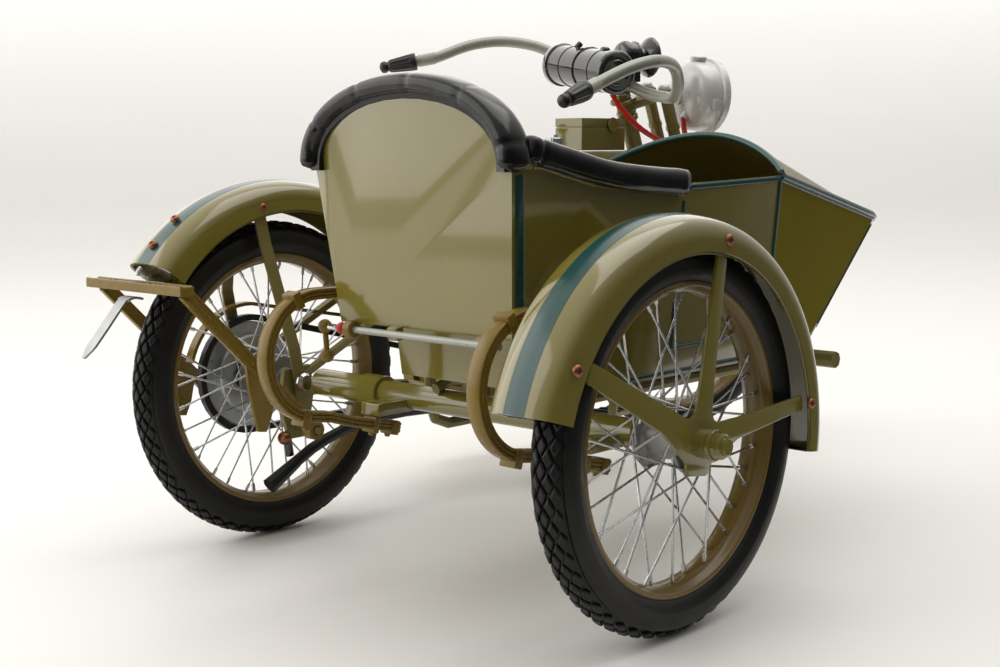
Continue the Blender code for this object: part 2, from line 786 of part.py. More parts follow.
def rear_stand():
    """A folded-up U frame of flat bars on the two pivot pins, and the spring clip on its foot bar."""
    bar_y, bar_z = STAND_FOOT
    pieces = [box("foot_bar", (-31.0, bar_y - 2.8, bar_z - 1.5), (27.6, bar_y + 2.8, bar_z + 1.5), TAN)]
    for side in (1, -1):
        fin = [(-17, 61), (-31, 74), (-29, 60), (-25.5, 45), (-22, 44.5), (-19.5, 50)]
        arm = strip([(0.5, 41.5), (bar_y + 0.7, bar_z - 0.7)], 2.3)
        pieces += [
            plate("fin", fin, 1.6, TAN, side * STAND_ARM_X),
            plate("arm", arm, 2.4, TAN, side * STAND_ARM_X),
            rod("eye", (side * 22.4, 0, 42), (side * 26.8, 0, 42), 3.6, TAN, sides=12),
        ]
    stand = union("rear_stand", pieces, TAN)
    pins = rod("pin_bore", (-40, 0, 42), (40, 0, 42), 1.85, TAN)
    stand = smooth_shaded(cut(stand, pins))
    clip_path = [(-52.0, 98.6), (-52.7, 100.4), (-55.5, 101.4), (-58.8, 100.1), (-60.0, 98.0)]
    clip_path += [(-61.5, 94.6), (-64.5, 91.5), (-79, 75)]
    clip = smooth_shaded(plate("stand_tang", strip(clip_path, 0.5), 5.0, SATIN, 0.0))
    stand_line = joint_empty("stand_line", (0, 0, 42))
    hang([stand], stand_line)
    hang([clip], joint_empty("clip_line", (0, *STAND_FOOT), parent=stand_line))


# ---------------------------------------------------------------- steering


def fork():
    """Crowns, steerer, two rear legs to the axle, and two spring tubes in front."""
    axis = Vector((0, -math.sin(RAKE), math.cos(RAKE)))
    head = Vector(HEAD)
    low_crown = head - 15.0 * axis
    high_crown = head + 15.0 * axis
    axle = Vector((0, WHEELBASE, AXLE_Z))
    pieces = [
        rod("steerer", head - 17 * axis, head + 22 * axis, 2.2, OLIVE),
        rod("low_crown", low_crown + 3 * -axis, low_crown + 3 * axis, 4.2, OLIVE),
        rod("high_crown", high_crown - 3 * axis, high_crown + 3 * axis, 4.2, OLIVE),
    ]
    for side in (1, -1):
        across = Vector((side, 0, 0))
        crown_end = low_crown + 13.4 * across + Vector((0, 7, 0))
        spring_low = Vector((side * 7.5, 250.0, 131.0))
        spring_high = spring_low + 47.0 * axis
        rocker_tip = axle + Vector((side * 13.4, 15, 3))
        bridge_mid = spring_low + Vector((0, 0, -2))
        pieces += [
            rod("crown_arm", low_crown, crown_end, 2.4, OLIVE),
            rod("leg", crown_end, axle + 13.4 * across, 2.0, OLIVE),
            ball("axle_eye", axle + 13.4 * across, 3.4, OLIVE),
            rod("rocker", axle + 13.4 * across, rocker_tip, 1.5, OLIVE),
            rod("front_leg", rocker_tip, spring_low + Vector((side * 5.9, 0, -2)), 1.5, OLIVE),
            ball("rocker_eye", rocker_tip, 2.0, OLIVE, 10),
            rod("bridge", bridge_mid + 7.2 * across, bridge_mid - 9.0 * across, 2.0, OLIVE),
            rod("spring_tube", spring_low - 2 * axis, spring_high, 3.0, OLIVE),
            rod("top_arm", high_crown, high_crown + Vector((side * 7.5, 20.5, 8.5)), 2.2, OLIVE),
            rod("low_arm", low_crown, spring_low + Vector((0, -2, 4)), 2.0, OLIVE),
        ]
    spindle = [(0, -18.4), (3.0, -18.4), (3.4, -17.4), (AXLE_R, -17.0)]
    spindle += [(r, -h) for r, h in spindle[::-1]]
    pieces.append(turned("spindle", spindle, axle, OLIVE, steps=12))
    return union("fork", pieces, OLIVE)


def handlebar():
    side_run = [
        (0, 217.0, 174.6),
        (16, 217.5, 172.2),
        (32, 216.0, 171.8),
        (43, 213.5, 173.2),
        (48.5, 211.0, 179.0),
        (53, 206.0, 185.0),
        (60, 197.0, 188.6),
        (68.5, 183.3, 189.3),
        (73, 168.0, 186.2),
        (75.7, 150.9, 179.2),
        (79.2, 144.2, 177.2),
    ]
    right = through(side_run, 2)
    left = [Vector((-p[0], p[1], p[2])) for p in right]
    pieces = [
        tube("right_run", right, 2.7, SATIN),
        tube("left_run", left, 2.7, SATIN),
        ball("middle", (0, 217.0, 174.6), 2.9, SATIN),
    ]
    return union("handlebar", pieces, SATIN)


def grip(name, side):
    """A ribbed tapered grip with a ball end, on the axis of the bar's last stretch."""
    root = Vector((side * 80.0, 142.7, 176.8))
    end = Vector((side * 86.7, 129.9, 173.1))
    profile = [(0, 0), (4.1, 0), (4.3, 3.0), (3.1, 13.4), (2.2, 14.2), (2.9, 15.6), (2.6, 17.6), (0, 18.6)]
    piece = turned(name, profile, root, BLACK, axis="Z", steps=12)
    piece.rotation_euler = (end - root).to_track_quat("Z", "Y").to_euler()
    return piece


def forward(profile):
    """A profile whose second number runs forward, for turned() about Y, which runs rearward."""
    return [(r, -h) for r, h in profile]


def lamp_set():
    """Gas tank, horn, headlamp with its lens, and the hose between tank and lamp."""
    gas_profile = [(0, 23.4), (8.6, 23.4), (9.8, 22.2), (9.8, -0.5), (10.3, -1.0), (10.3, -2.5), (9.8, -3.0)]
    gas_profile += [(9.8, -24.6), (10.4, -25.1), (10.4, -27.4), (8.6, -28.6), (0, -28.6)]
    gas = turned("tank", gas_profile, (0, 195, 181.4), BLACK, steps=18)
    strap = rod("strap", (-2, 203, 178), (-2, 212.2, 175.6), 1.8, BLACK)
    gas_tank = union("gas_tank", [gas, strap], BLACK)
    horn_profile = [(0, -8.5), (5.0, -8.5), (7.2, -6.0), (7.2, 0.5), (4.0, 2.5), (4.0, 4.0)]
    horn_profile += [(9.3, 8.0), (9.5, 9.5), (7.5, 8.8), (0, 5.0)]
    horn_body = turned("bell", forward(horn_profile), (2, 217, 188.3), BLACK, axis="Y", steps=18)
    horn_foot = rod("foot", (2, 219.5, 178.2), (2, 218.5, 186), 2.0, BLACK)
    horn = union("horn", [horn_body, horn_foot], BLACK)
    drum = [(0, 247.6), (6.0, 248.0), (11.5, 249.8), (15.0, 252.4), (16.9, 255.6), (17.2, 258.6)]
    drum += [(17.2, 261.6), (18.4, 261.9), (18.4, 265.2), (16.2, 265.2), (16.2, 259.0), (0, 257.0)]
    shell = turned("shell", forward(drum), (0, 0, 171), SILVER, axis="Y", steps=24)
    lamp_arm = rod("lamp_arm", (0, 245.6, 168.5), (0, 251.5, 168.5), 2.2, SILVER)
    vent = rod("vent", (0, 256.5, 186.4), (0, 256.5, 191.0), 5.2, SILVER, sides=12)
    lamp = union("headlamp", [shell, lamp_arm, vent], SILVER)
    lens_profile = [(0, 264.0), (15.8, 263.0), (15.8, 264.6), (8.5, 267.4), (0, 268.2)]
    lens = turned("headlamp_lens", forward(lens_profile), (0, 0, 171), GLASS, axis="Y", steps=24)
    route = [(14, 199.0, 171.3), (15.5, 203, 165.5), (18.5, 212, 157), (18.8, 223, 151.5)]
    route += [(18.4, 233, 148.6), (16.8, 240.5, 147.2), (13.2, 245.8, 147.6), (8.8, 248.0, 150.2)]
    route += [(5.6, 248.1, 154.8), (4.3, 247.8, 160.6)]
    hose = tube("gas_hose", through(route, 4), 1.3, RED_HOSE)
    return [gas_tank, horn, lamp, lens, hose]


def steering():
    pieces = [
        fork(),
        handlebar(),
        grip("grip_left", -1),
        grip("grip_right", 1),
        *lamp_set(),
        front_fender(),
    ]
    front_wheel_line = wheel(
        "front", (0, WHEELBASE, AXLE_Z), hub_profile(9.4, 4.6, 8.6), {1: (7.6, 7.8), -1: (-7.6, 7.8)}
    )
    steering_line = joint_empty("steering_line", HEAD, (RAKE, 0.0, 0.0))
    hang([*pieces, front_wheel_line], steering_line)
    steering_line.rotation_mode = "ZYX"
    steering_line.rotation_euler = (RAKE, 0.0, STEERING_TURN)


def front_fender():
    section = [(61.8, 10.4), (63.4, 9.4), (64.8, 5.0), (65.1, 0.0)]
    section += [(r, -h) for r, h in section[-2::-1]]
    centre = (0, WHEELBASE, AXLE_Z)
    return turned("front_fender", section, centre, OLIVE, steps=18, span=(48.0, 186.0), sheet=0.9)


# ---------------------------------------------------------------- sidecar


def body_half_width(z):
    return BODY_HALF_WIDTH + (z - LEDGE_Z) * BODY_FLARE


def body_wedge(name, inset):
    """The body seen from above: parallel sides that close to the bow, wider towards the top."""
    points = []
    bow_slope = (BOW_TIP[0] - BOW_FOOT[0]) / (BOW_TIP[1] - BOW_FOOT[1])
    for z in (40.0, 180.0):
        half = body_half_width(z) - inset
        bow = BOW_FOOT[0] + (z - BOW_FOOT[1]) * bow_slope - 2.5 * inset
        for side in (1, -1):
            points += [(BODY_X + side * half, y, z) for y in (-70.0, BOW_Y)]
            points.append((BODY_X + side * max(1.6 - inset, 0.4), bow, z))
    return hull(name, points, OLIVE)


def side_outline(inset, top):
    """The body seen from the side; top lists its upper edge from bow to back."""
    lean = BODY_RECLINE * (SHOULDER_Z - LEDGE_Z)
    return [
        (BODY_REAR_Y + inset, LEDGE_Z + inset),
        (-13.0 + inset, LEDGE_Z + inset),
        (-10.5 + inset, LEDGE_Z - 3.0 + inset),
        (-9.5 + inset, FLOOR_Z + inset),
        (BOW_FOOT[0] - 1.4 * inset, FLOOR_Z + inset),
        *top,
        (BODY_REAR_Y - lean + inset, SHOULDER_Z),
    ]


def sidecar_tub():
    """The open body: bow, sides, floor, the ledge under the seat and the arched back panel."""
    rail = [BOW_TIP, (BOW_Y, 135.0), (43.9, 133.2), (43.7, 129.3)]
    rail += [(12.0, 131.5), (-4.0, 133.6), (-26.0, 138.6), (-36.0, SHOULDER_Z)]
    open_top = [(BOW_TIP[0] + 40.0, 160.0), (-36.0, 165.0)]
    shell = cut(
        plate("sidecar_tub", side_outline(0.0, rail), 110.0, OLIVE, BODY_X),
        body_wedge("wedge", 0.0),
        "INTERSECT",
    )
    cavity = cut(
        plate("cavity", side_outline(BODY_SHEET, open_top), 110.0, OLIVE, BODY_X),
        body_wedge("inner_wedge", BODY_SHEET),
        "INTERSECT",
    )
    tub = cut(shell, cavity)
    half = body_half_width(SHOULDER_Z)
    foot = body_half_width(LEDGE_Z)
    arch = [
        (BODY_X + (half - 3.0) * math.cos(a), SHOULDER_Z - 0.5 + 21.5 * math.sin(a) ** 0.9)
        for a in [math.pi * i / 16 for i in range(17)]
    ]
    outline = [(BODY_X - foot, LEDGE_Z), (BODY_X + foot, LEDGE_Z), (BODY_X + half, SHOULDER_Z - 0.5)]
    outline += [*arch, (BODY_X - half, SHOULDER_Z - 0.5)]
    panel = plate("back_panel", outline, BODY_SHEET, OLIVE, 0.0, "Y")
    hinge_line = at(0, BODY_REAR_Y + BODY_SHEET / 2, LEDGE_Z)
    panel.matrix_world = (
        Matrix.Translation(hinge_line)
        @ Matrix.Rotation(math.atan(BODY_RECLINE), 4, "X")
        @ Matrix.Translation(-at(0, 0, LEDGE_Z))
        @ panel.matrix_world
    )
    return smooth_shaded(union("sidecar_tub", [tub, panel], OLIVE), 25)


def sidecar_cowl():
    """The curved deck from the cockpit's front edge to the tip of the bow."""
    gap = 0.35
    stations = 7
    ribs = 12
    mesh = bmesh.new()
    rows = []
    for i in range(stations):
        t = i / (stations - 1)
        row = []
        for j in range(ribs + 1):
            across = -1.0 + 2.0 * j / ribs
            swept = 13.0 * (1.0 - across**2) * (1.0 - t)
            y = (BOW_Y + 0.5) * (1 - t) + (BOW_TIP[0] - 0.6) * t + swept
            edge_z = 135.0 + (BOW_TIP[1] - 135.0) * t
            half = body_half_width(edge_z) * (1.0 - t) + 1.6 * t
            crown = (13.4 * (1.0 - t) + 1.0 * t) * math.cos(across * math.pi / 2) ** 0.8
            row.append(mesh.verts.new(at(BODY_X + across * half, y, edge_z + gap + 0.7 + crown)))
        rows.append(row)
    for low_row, high_row in zip(rows, rows[1:]):
        for j in range(ribs):
            mesh.faces.new((low_row[j], low_row[j + 1], high_row[j + 1], high_row[j]))
    cowl = from_bmesh("sidecar_cowl", mesh, OLIVE)
    thicken = cowl.modifiers.new("sheet", "SOLIDIFY")
    thicken.thickness = 1.1 * MM
    thicken.offset = 0.0
    return smooth_shaded(solid(cowl))


def backrest_trim():
    """The padded roll over the arched back panel, as a plain solid."""
    half = body_half_width(SHOULDER_Z) - 3.0
    middle = [
        (BODY_X + (half + 3.5) * math.cos(a), SHOULDER_Z + 1.5 + 23.8 * math.sin(a) ** 0.9)
        for a in [math.pi * i / 20 for i in range(21)]
    ]
    roll = plate("backrest_trim", strip(middle, 2.9), 11.0, LEATHER, -38.6, "Y")
    edge = roll.modifiers.new("edge", "BEVEL")
    edge.width = 1.8 * MM
    edge.segments = 2
    edge.limit_method = "ANGLE"
    edge.angle_limit = math.radians(50)
    return smooth_shaded(solid(roll), 50)


def arm_trim(name, side):
    """A padded roll along one side's top edge."""
    x = BODY_X + side * (body_half_width(SHOULDER_Z) + 0.2)
    path = [(-32.0, 144.4), (-26.0, 143.1), (-4.0, 138.3), (12.0, 136.0), (43.0, 133.8)]
    roll = plate(name, strip(path, 4.0), 7.4, LEATHER, x)
    edge = roll.modifiers.new("edge", "BEVEL")
    edge.width = 1.6 * MM
    edge.segments = 2
    edge.limit_method = "ANGLE"
    edge.angle_limit = math.radians(50)
    return smooth_shaded(solid(roll), 50)


def seat_cushion():
    """The seat and its back as one plain padded solid."""
    seat = box("seat", (BODY_X - 33.5, -26, 93.0), (BODY_X + 33.5, 20, 105), LEATHER)
    lean = math.degrees(math.atan(BODY_RECLINE))
    back = box("back", (BODY_X - 33.5, -34.0, 94), (BODY_X + 33.5, -27.0, 139.5), LEATHER, turn=lean)
    return union("seat_cushion", [seat, back], LEATHER)


def axle_tube():
    """The cross tube from the motorcycle's axle to the sidecar wheel's stub, with spring lugs."""
    profile = [(0, 23.5), (5.0, 23.5), (5.0, 49), (5.9, 49), (5.9, 59), (4.3, 59), (4.3, 172), (AXLE_R, 172)]
    profile += [(AXLE_R, 193.0), (0, 193.0)]
    pieces = [turned("tube", profile, (0, 5, AXLE_Z), OLIVE, steps=20)]
    for x in SPRING_XS:
        pieces.append(box("lug", (x - 4.5, -12.5, 54.6), (x + 4.5, 6.5, 59.0), OLIVE))
    return union("axle_tube", pieces, OLIVE)


def c_spring(name, x):
    """A pack of leaves: flat top, three-quarter round back and a straight tail, with clamps."""
    top = [(-11.0, 96.0), (-18.0, 97.3), (-27.0, 98.1)]
    back = arc(SPRING_CENTRE, SPRING_R, 90, 256, 16)
    tail = [(-22.0, 54.1), (-0.5, 49.0)]
    pieces = [
        plate("leaves", strip(top + back + tail, SPRING_HALF_THICKNESS), 5.0, TAN, x),
        rod("eye", (x - 2.9, -11.0, 96.0), (x + 2.9, -11.0, 96.0), 2.6, TAN),
        box("top_clamp", (x - 3.1, -46.2, 93.6), (x + 3.1, -42.6, 99.6), TAN, turn=24),
        box("low_clamp", (x - 3.1, -43.8, 54.9), (x + 3.1, -40.2, 60.9), TAN, turn=-17),
        box("tail_clamp", (x - 3.1, -13.4, 48.7), (x + 3.1, -10.4, 54.0), TAN, turn=-13),
    ]
    return union(name, pieces, TAN)


def cross_rod():
    """The bright rod behind the body, with its end eyes and the shackle link on the left."""
    y, z = -37.2, 88.2
    profile = [(0, 76.6), (1.1, 76.6), (1.1, 83.6), (2.6, 83.6), (2.6, 86.6), (1.1, 86.6), (1.1, 88.0)]
    profile += [(2.9, 88.0), (2.9, 91.5), (1.1, 91.5), (1.1, 154.0), (0, 154.0)]
    pieces = [
        turned("rod", profile, (0, y, z), STEEL, steps=8),
        ball("link_top", (76.8, y, z), 2.3, TAN),
        rod("link", (76.8, y, z), (77.6, y, z - 9.5), 1.0, TAN, sides=8),
        ball("link_foot", (77.6, y, z - 9.5), 2.3, TAN),
    ]
    return union("cross_rod", pieces, STEEL)


def sidecar_frame():
    """Rails from the axle tube to the front spring bar, and the bar's stay to the motorcycle."""
    pieces = []
    for x in (89.0, 148.5):
        rail = [(x, 0.4, 64.3), (x, 8, 66.6), (x, 30, 66.8), (x, 120, 66.8), (x, 133, 66.8)]
        pieces.append(tube("rail", rail, 1.9, OLIVE))
    stay_run = [(61, 133, 66.8), (57, 141, 60), (49, 146, 30), (43, 146, 22.6), (-4.0, 146, 22.6)]
    pieces += [
        rod("front_bar", (60, 133, 66.8), (160, 133, 66.8), 2.1, OLIVE),
        rod("peg", (153, 133, 66.8), (164.5, 133, 66.8), 3.1, OLIVE),
        tube("stay", stay_run, 2.1, OLIVE),
    ]
    return union("sidecar_frame", pieces, OLIVE)


def sidecar_fender():
    section = [(60.0, 11.7), (65.0, 11.6), (68.5, 9.5), (70.2, 5.0), (70.6, 0.0)]
    section += [(r, -h) for r, h in section[-2::-1]]
    centre = (SIDE_WHEEL[0], *SIDE_FENDER_CENTRE)
    return turned("sidecar_fender", section, centre, OLIVE, steps=22, span=(-7.0, 163.0), sheet=SHEET)


def sidecar_stay():
    """The three-armed plate outside the wheel, with the axle boss and its nut."""
    x, y, z = SIDE_WHEEL
    arms = (
        ((60.5, 64.0), 4.2, 2.4),
        ((15.0, 114.0), 4.2, 2.3),
        ((-46.0, 86.0), 4.6, 3.0),
        ((3.5, 50.0), 7.0, 4.5),
    )
    outline = []
    for tip, root_half, tip_half in arms:
        along = (Vector(tip) - Vector((y, z))).normalized()
        across = Vector((-along.y, along.x))
        root = Vector((y, z)) + along * 7.0
        end = Vector(tip)
        outline += [root - across * root_half, end - across * tip_half]
        outline += [end + across * tip_half, root + across * root_half]
    pieces = [
        plate("arms", [tuple(p) for p in outline], 1.2, OLIVE, 194.0),
        rod("boss", (193.6, y, z), (199.6, y, z), 4.4, OLIVE),
        rod("nut", (199.0, y, z), (204.2, y, z), 4.0, OLIVE, sides=6),
    ]
    return union("sidecar_stay", pieces, OLIVE)


def sidecar():
    sidecar_tub()
    sidecar_cowl()
    backrest_trim()
    arm_trim("arm_trim_right", 1)
    arm_trim("arm_trim_left", -1)
    seat_cushion()
    axle_tube()
    c_spring("c_spring_left", SPRING_XS[0])
    c_spring("c_spring_right", SPRING_XS[1])
    cross_rod()
    sidecar_frame()
    sidecar_fender()
    sidecar_stay()
    wheel("sidecar", SIDE_WHEEL, hub_profile(9.0, 6.2, 9.6), {1: (7.2, 8.8), -1: (-7.2, 8.8)})


def motorcycle():
    frame_loop()
    rear_stays()
    rear_axle()
    rear_wheel()
    drive_chain()
    chain_guard()
    rear_fender()
    fender_stay()
    engine()
    exhaust()
    fuel_tank()
    tank_fittings()
    saddle()
    footboards()
    controls()
    rear_stand()
    steering()


motorcycle()
sidecar()
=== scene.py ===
"""The visual model of a one-sixth scale V-twin motorcycle with a sidecar, built around its CAD frame.

Places are given by at() in millimetres from the datum: the ground, straight under the rear
axle, on the motorcycle's centre plane. +Y is forward, +X is towards the sidecar, +Z is up.
"""

import json
import random
from math import atan2, copysign, cos, exp, pi, radians, sin, sqrt

import bmesh
import bpy
from mathutils import Matrix, Vector
from mathutils.bvhtree import BVHTree

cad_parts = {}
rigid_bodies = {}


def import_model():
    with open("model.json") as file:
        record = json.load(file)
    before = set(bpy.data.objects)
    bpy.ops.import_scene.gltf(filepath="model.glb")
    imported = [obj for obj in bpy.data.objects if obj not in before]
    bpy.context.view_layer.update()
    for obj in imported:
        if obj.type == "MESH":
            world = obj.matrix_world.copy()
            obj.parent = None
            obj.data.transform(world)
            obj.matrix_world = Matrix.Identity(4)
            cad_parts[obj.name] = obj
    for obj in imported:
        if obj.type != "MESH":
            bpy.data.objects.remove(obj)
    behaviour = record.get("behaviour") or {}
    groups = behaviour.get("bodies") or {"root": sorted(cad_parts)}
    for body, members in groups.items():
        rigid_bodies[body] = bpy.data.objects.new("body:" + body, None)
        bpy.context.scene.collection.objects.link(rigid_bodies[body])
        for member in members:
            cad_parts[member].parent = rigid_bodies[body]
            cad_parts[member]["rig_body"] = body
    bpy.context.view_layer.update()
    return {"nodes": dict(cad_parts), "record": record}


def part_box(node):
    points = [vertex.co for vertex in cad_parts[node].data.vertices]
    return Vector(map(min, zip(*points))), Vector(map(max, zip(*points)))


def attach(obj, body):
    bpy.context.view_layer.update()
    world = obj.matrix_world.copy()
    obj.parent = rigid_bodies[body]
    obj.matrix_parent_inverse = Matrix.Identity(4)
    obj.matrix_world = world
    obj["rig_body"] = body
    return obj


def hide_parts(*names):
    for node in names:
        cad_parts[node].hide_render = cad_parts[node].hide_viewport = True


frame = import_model()
NODES = frame["nodes"]
MM = 0.001
X_WAY = Vector((1, 0, 0))
Y_WAY = Vector((0, 1, 0))
Z_WAY = Vector((0, 0, 1))


def middle(node, axis):
    low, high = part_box(node)
    return (low[axis] + high[axis]) / 2


DATUM = Vector((middle("frame_loop", 0), middle("rear_axle", 1), 0))
SIDE_X = (middle("sidecar_tyre", 0) - DATUM.x) / MM
SIDE_Y = (middle("sidecar_tyre", 1) - DATUM.y) / MM
AXLE_Z = middle("rear_axle", 2) / MM
BODY_X = (middle("sidecar_tub", 0) - DATUM.x) / MM
WHEELBASE = 264
HEAD = (0, 222, 150)
RAKE = radians(22)
TURN = radians(-19.6)


def at(x, y, z):
    return DATUM + Vector((x, y, z)) * MM


HEAD_PLACE = Matrix.Translation(at(*HEAD)) @ Matrix.Rotation(RAKE, 4, "X")
STEERED = HEAD_PLACE @ Matrix.Rotation(TURN, 4, "Z") @ HEAD_PLACE.inverted()


# ---------------------------------------------------------------- camera, light and floor


CAMERA_ANGLES = (43.058, 7.2426, -0.314)  # azimuth, elevation and roll
CAMERA_LENS = 52.16  # millimetres
CAMERA_PLACE = (434.99, -337.83, 144.48)
SKY_NEAR = 0.08  # the room behind the camera is dark, and the far side and the ceiling are bright
SKY_FAR = 1.15
SKY_FACING = (-0.35, 0.8)  # how far a direction faces the bright side, where the fade starts and ends
KEY = 6  # the lamps' power in watts
LEFT = 5.5
WARM = (1, 0.985, 0.96)
GLOW = 1.15  # how bright the backdrop gets towards its top
SWEEP_START = 2.6  # metres ahead of the datum, where the floor starts to curve up
SWEEP_RISE = 2.5
FLOOR_NEAR = -0.3
FLOOR_LEFT = -9
FLOOR_TOP = 6
VIEW_WAY = radians(43)
AHEAD = Vector((-sin(VIEW_WAY), cos(VIEW_WAY), 0))
ACROSS = Vector((AHEAD.y, -AHEAD.x, 0))


def camera():
    """The view from low behind the sidecar's outer rear corner."""
    azimuth, elevation, roll = (radians(angle) for angle in CAMERA_ANGLES)
    data = bpy.data.cameras.new("camera")
    data.lens = CAMERA_LENS
    data.clip_start = 0.01
    piece = bpy.data.objects.new("camera", data)
    bpy.context.scene.collection.objects.link(piece)
    flat = cos(elevation)
    back = Vector((sin(azimuth) * flat, -cos(azimuth) * flat, sin(elevation)))
    turn = back.to_track_quat("Z", "Y").to_matrix().to_4x4()
    tilt = Matrix.Rotation(roll, 4, "Z")
    piece.matrix_world = Matrix.Translation(at(*CAMERA_PLACE)) @ turn @ tilt
    bpy.context.scene.camera = piece
    bpy.context.scene.view_settings.view_transform = "Standard"


def lamp(name, place, target, size, power, colour):
    data = bpy.data.lights.new(name, "AREA")
    data.shape = "RECTANGLE"
    data.size, data.size_y = size
    data.energy = power
    data.color = colour
    piece = bpy.data.objects.new(name, data)
    bpy.context.scene.collection.objects.link(piece)
    aim = Vector(place) - Vector(target)
    piece.matrix_world = Matrix.Translation(place) @ aim.to_track_quat("Z", "Y").to_matrix().to_4x4()


def surroundings():
    """A room that is dark behind the camera, two soft lamps, and a floor that sweeps up into a backdrop."""
    world = bpy.data.worlds.new("studio")
    bpy.context.scene.world = world
    world.use_nodes = True
    tree = world.node_tree
    sky = tree.nodes["Background"]
    sky.inputs["Color"].default_value = (1, 0.985, 0.955, 1)
    facing = tree.nodes.new("ShaderNodeVectorMath")
    facing.operation = "DOT_PRODUCT"
    facing.inputs[1].default_value = (AHEAD * 0.5 - ACROSS * 0.45 + Vector((0, 0, 0.75))).normalized()
    fade = tree.nodes.new("ShaderNodeMapRange")
    for socket, value in zip(("From Min", "From Max", "To Min", "To Max"), (*SKY_FACING, SKY_NEAR, SKY_FAR)):
        fade.inputs[socket].default_value = value
    tree.links.new(tree.nodes.new("ShaderNodeTexCoord").outputs["Generated"], facing.inputs[0])
    tree.links.new(facing.outputs["Value"], fade.inputs["Value"])
    tree.links.new(fade.outputs[0], sky.inputs["Strength"])
    centre = at(60, 120, 80)
    lamp("key", centre + ACROSS * 0.3 + AHEAD * 0.1 + Vector((0, 0, 1.15)), centre, (1.1, 1.1), KEY, WARM)
    lamp("left", centre - ACROSS - AHEAD * 0.15 + Vector((0, 0, 0.42)), centre, (1.3, 0.95), LEFT, WARM)
    mesh = bmesh.new()
    rows = [(FLOOR_NEAR, 0), (SWEEP_START, 0)]
    for i in range(1, 13):
        a = radians(7.5 * i)
        rows.append((SWEEP_START + SWEEP_RISE * sin(a), SWEEP_RISE * (1 - cos(a))))
    rows.append((SWEEP_START + SWEEP_RISE, FLOOR_TOP))
    grid(mesh, [[at(0, 0, z / MM) + AHEAD * d + ACROSS * s for s in (FLOOR_LEFT, 0.37 * d + 0.35)]
                for d, z in rows])
    piece_from("floor", mesh, FLOOR)


# ---------------------------------------------------------------- materials


def new_material(name, colour, roughness, metallic=0, coat=0):
    made = bpy.data.materials.new(name)
    made.use_nodes = True
    shader = made.node_tree.nodes["Principled BSDF"]
    shader.inputs["Base Color"].default_value = (*colour, 1)
    shader.inputs["Roughness"].default_value = roughness
    shader.inputs["Metallic"].default_value = metallic
    shader.inputs["Coat Weight"].default_value = coat
    shader.inputs["Coat Roughness"].default_value = 0.06
    return made


class Nodes:
    """A short way to write a material's nodes."""

    def __init__(self, made):
        self.tree = made.node_tree
        self.shader = self.tree.nodes["Principled BSDF"]
        self.place = self.tree.nodes.new("ShaderNodeTexCoord").outputs["Object"]

    def add(self, kind, *sources, **settings):
        node = self.tree.nodes.new("ShaderNode" + kind)
        for name, value in settings.items():
            setattr(node, name, value)
        for socket, source in sources:
            if hasattr(source, "links"):
                self.tree.links.new(source, node.inputs[socket])
            else:
                node.inputs[socket].default_value = source
        return node

    def noise(self, scale, detail=3):
        return self.add("TexNoise", ("Vector", self.place), ("Scale", scale), ("Detail", detail)).outputs[0]

    def ramp(self, source, low, high, at_low=0, at_high=1):
        settings = (("Value", source), ("From Min", low), ("From Max", high),
                    ("To Min", at_low), ("To Max", at_high))
        return self.add("MapRange", *settings, clamp=True).outputs[0]

    def mix(self, factor, low, high):
        mixer = self.add("Mix", (0, factor), data_type="RGBA")
        for socket, value in ((6, low), (7, high)):
            if hasattr(value, "links"):
                self.tree.links.new(value, mixer.inputs[socket])
            else:
                mixer.inputs[socket].default_value = (*value, 1)
        return mixer.outputs[2]

    def bump(self, source, distance, strength=1, under=None):
        links = [("Height", source), ("Distance", distance), ("Strength", strength)]
        if under:
            links.append(("Normal", under))
        return self.add("Bump", *links).outputs[0]

    def set(self, **sources):
        for name, source in sources.items():
            self.tree.links.new(source, self.shader.inputs[name.replace("_", " ")])


def enamel(name, colour, shade, dust, roughness, coat=1):
    """Gloss paint: slow colour drift, faint orange peel and specks of dust."""
    made = new_material(name, colour, roughness[0], coat=coat)
    nodes = Nodes(made)
    drift = nodes.ramp(nodes.noise(35, 4), 0.35, 0.68)
    specks = nodes.ramp(nodes.noise(2600, 1), 0.73, 0.79)
    base = nodes.mix(drift, colour, shade)
    base = nodes.mix(specks, base, dust)
    peel = nodes.bump(nodes.noise(420, 1), 0.000012, 0.25)
    nodes.set(Base_Color=base, Roughness=nodes.ramp(nodes.noise(60, 2), 0.2, 0.8, *roughness), Normal=peel)
    return made


def moulded(name, colour, shade, roughness, bump=0.00005, scale=700, metallic=0, shine=0.5):
    """Moulded plastic, rubber or cast metal: two tones, a fine grain and an uneven sheen."""
    made = new_material(name, colour, roughness[0], metallic)
    nodes = Nodes(made)
    nodes.shader.inputs["Specular IOR Level"].default_value = shine
    base = nodes.mix(nodes.ramp(nodes.noise(60, 5), 0.35, 0.7), colour, shade)
    grain = nodes.bump(nodes.noise(scale, 4), bump, 0.5)
    nodes.set(Base_Color=base, Roughness=nodes.ramp(nodes.noise(200, 4), 0.3, 0.7, *roughness), Normal=grain)
    return made


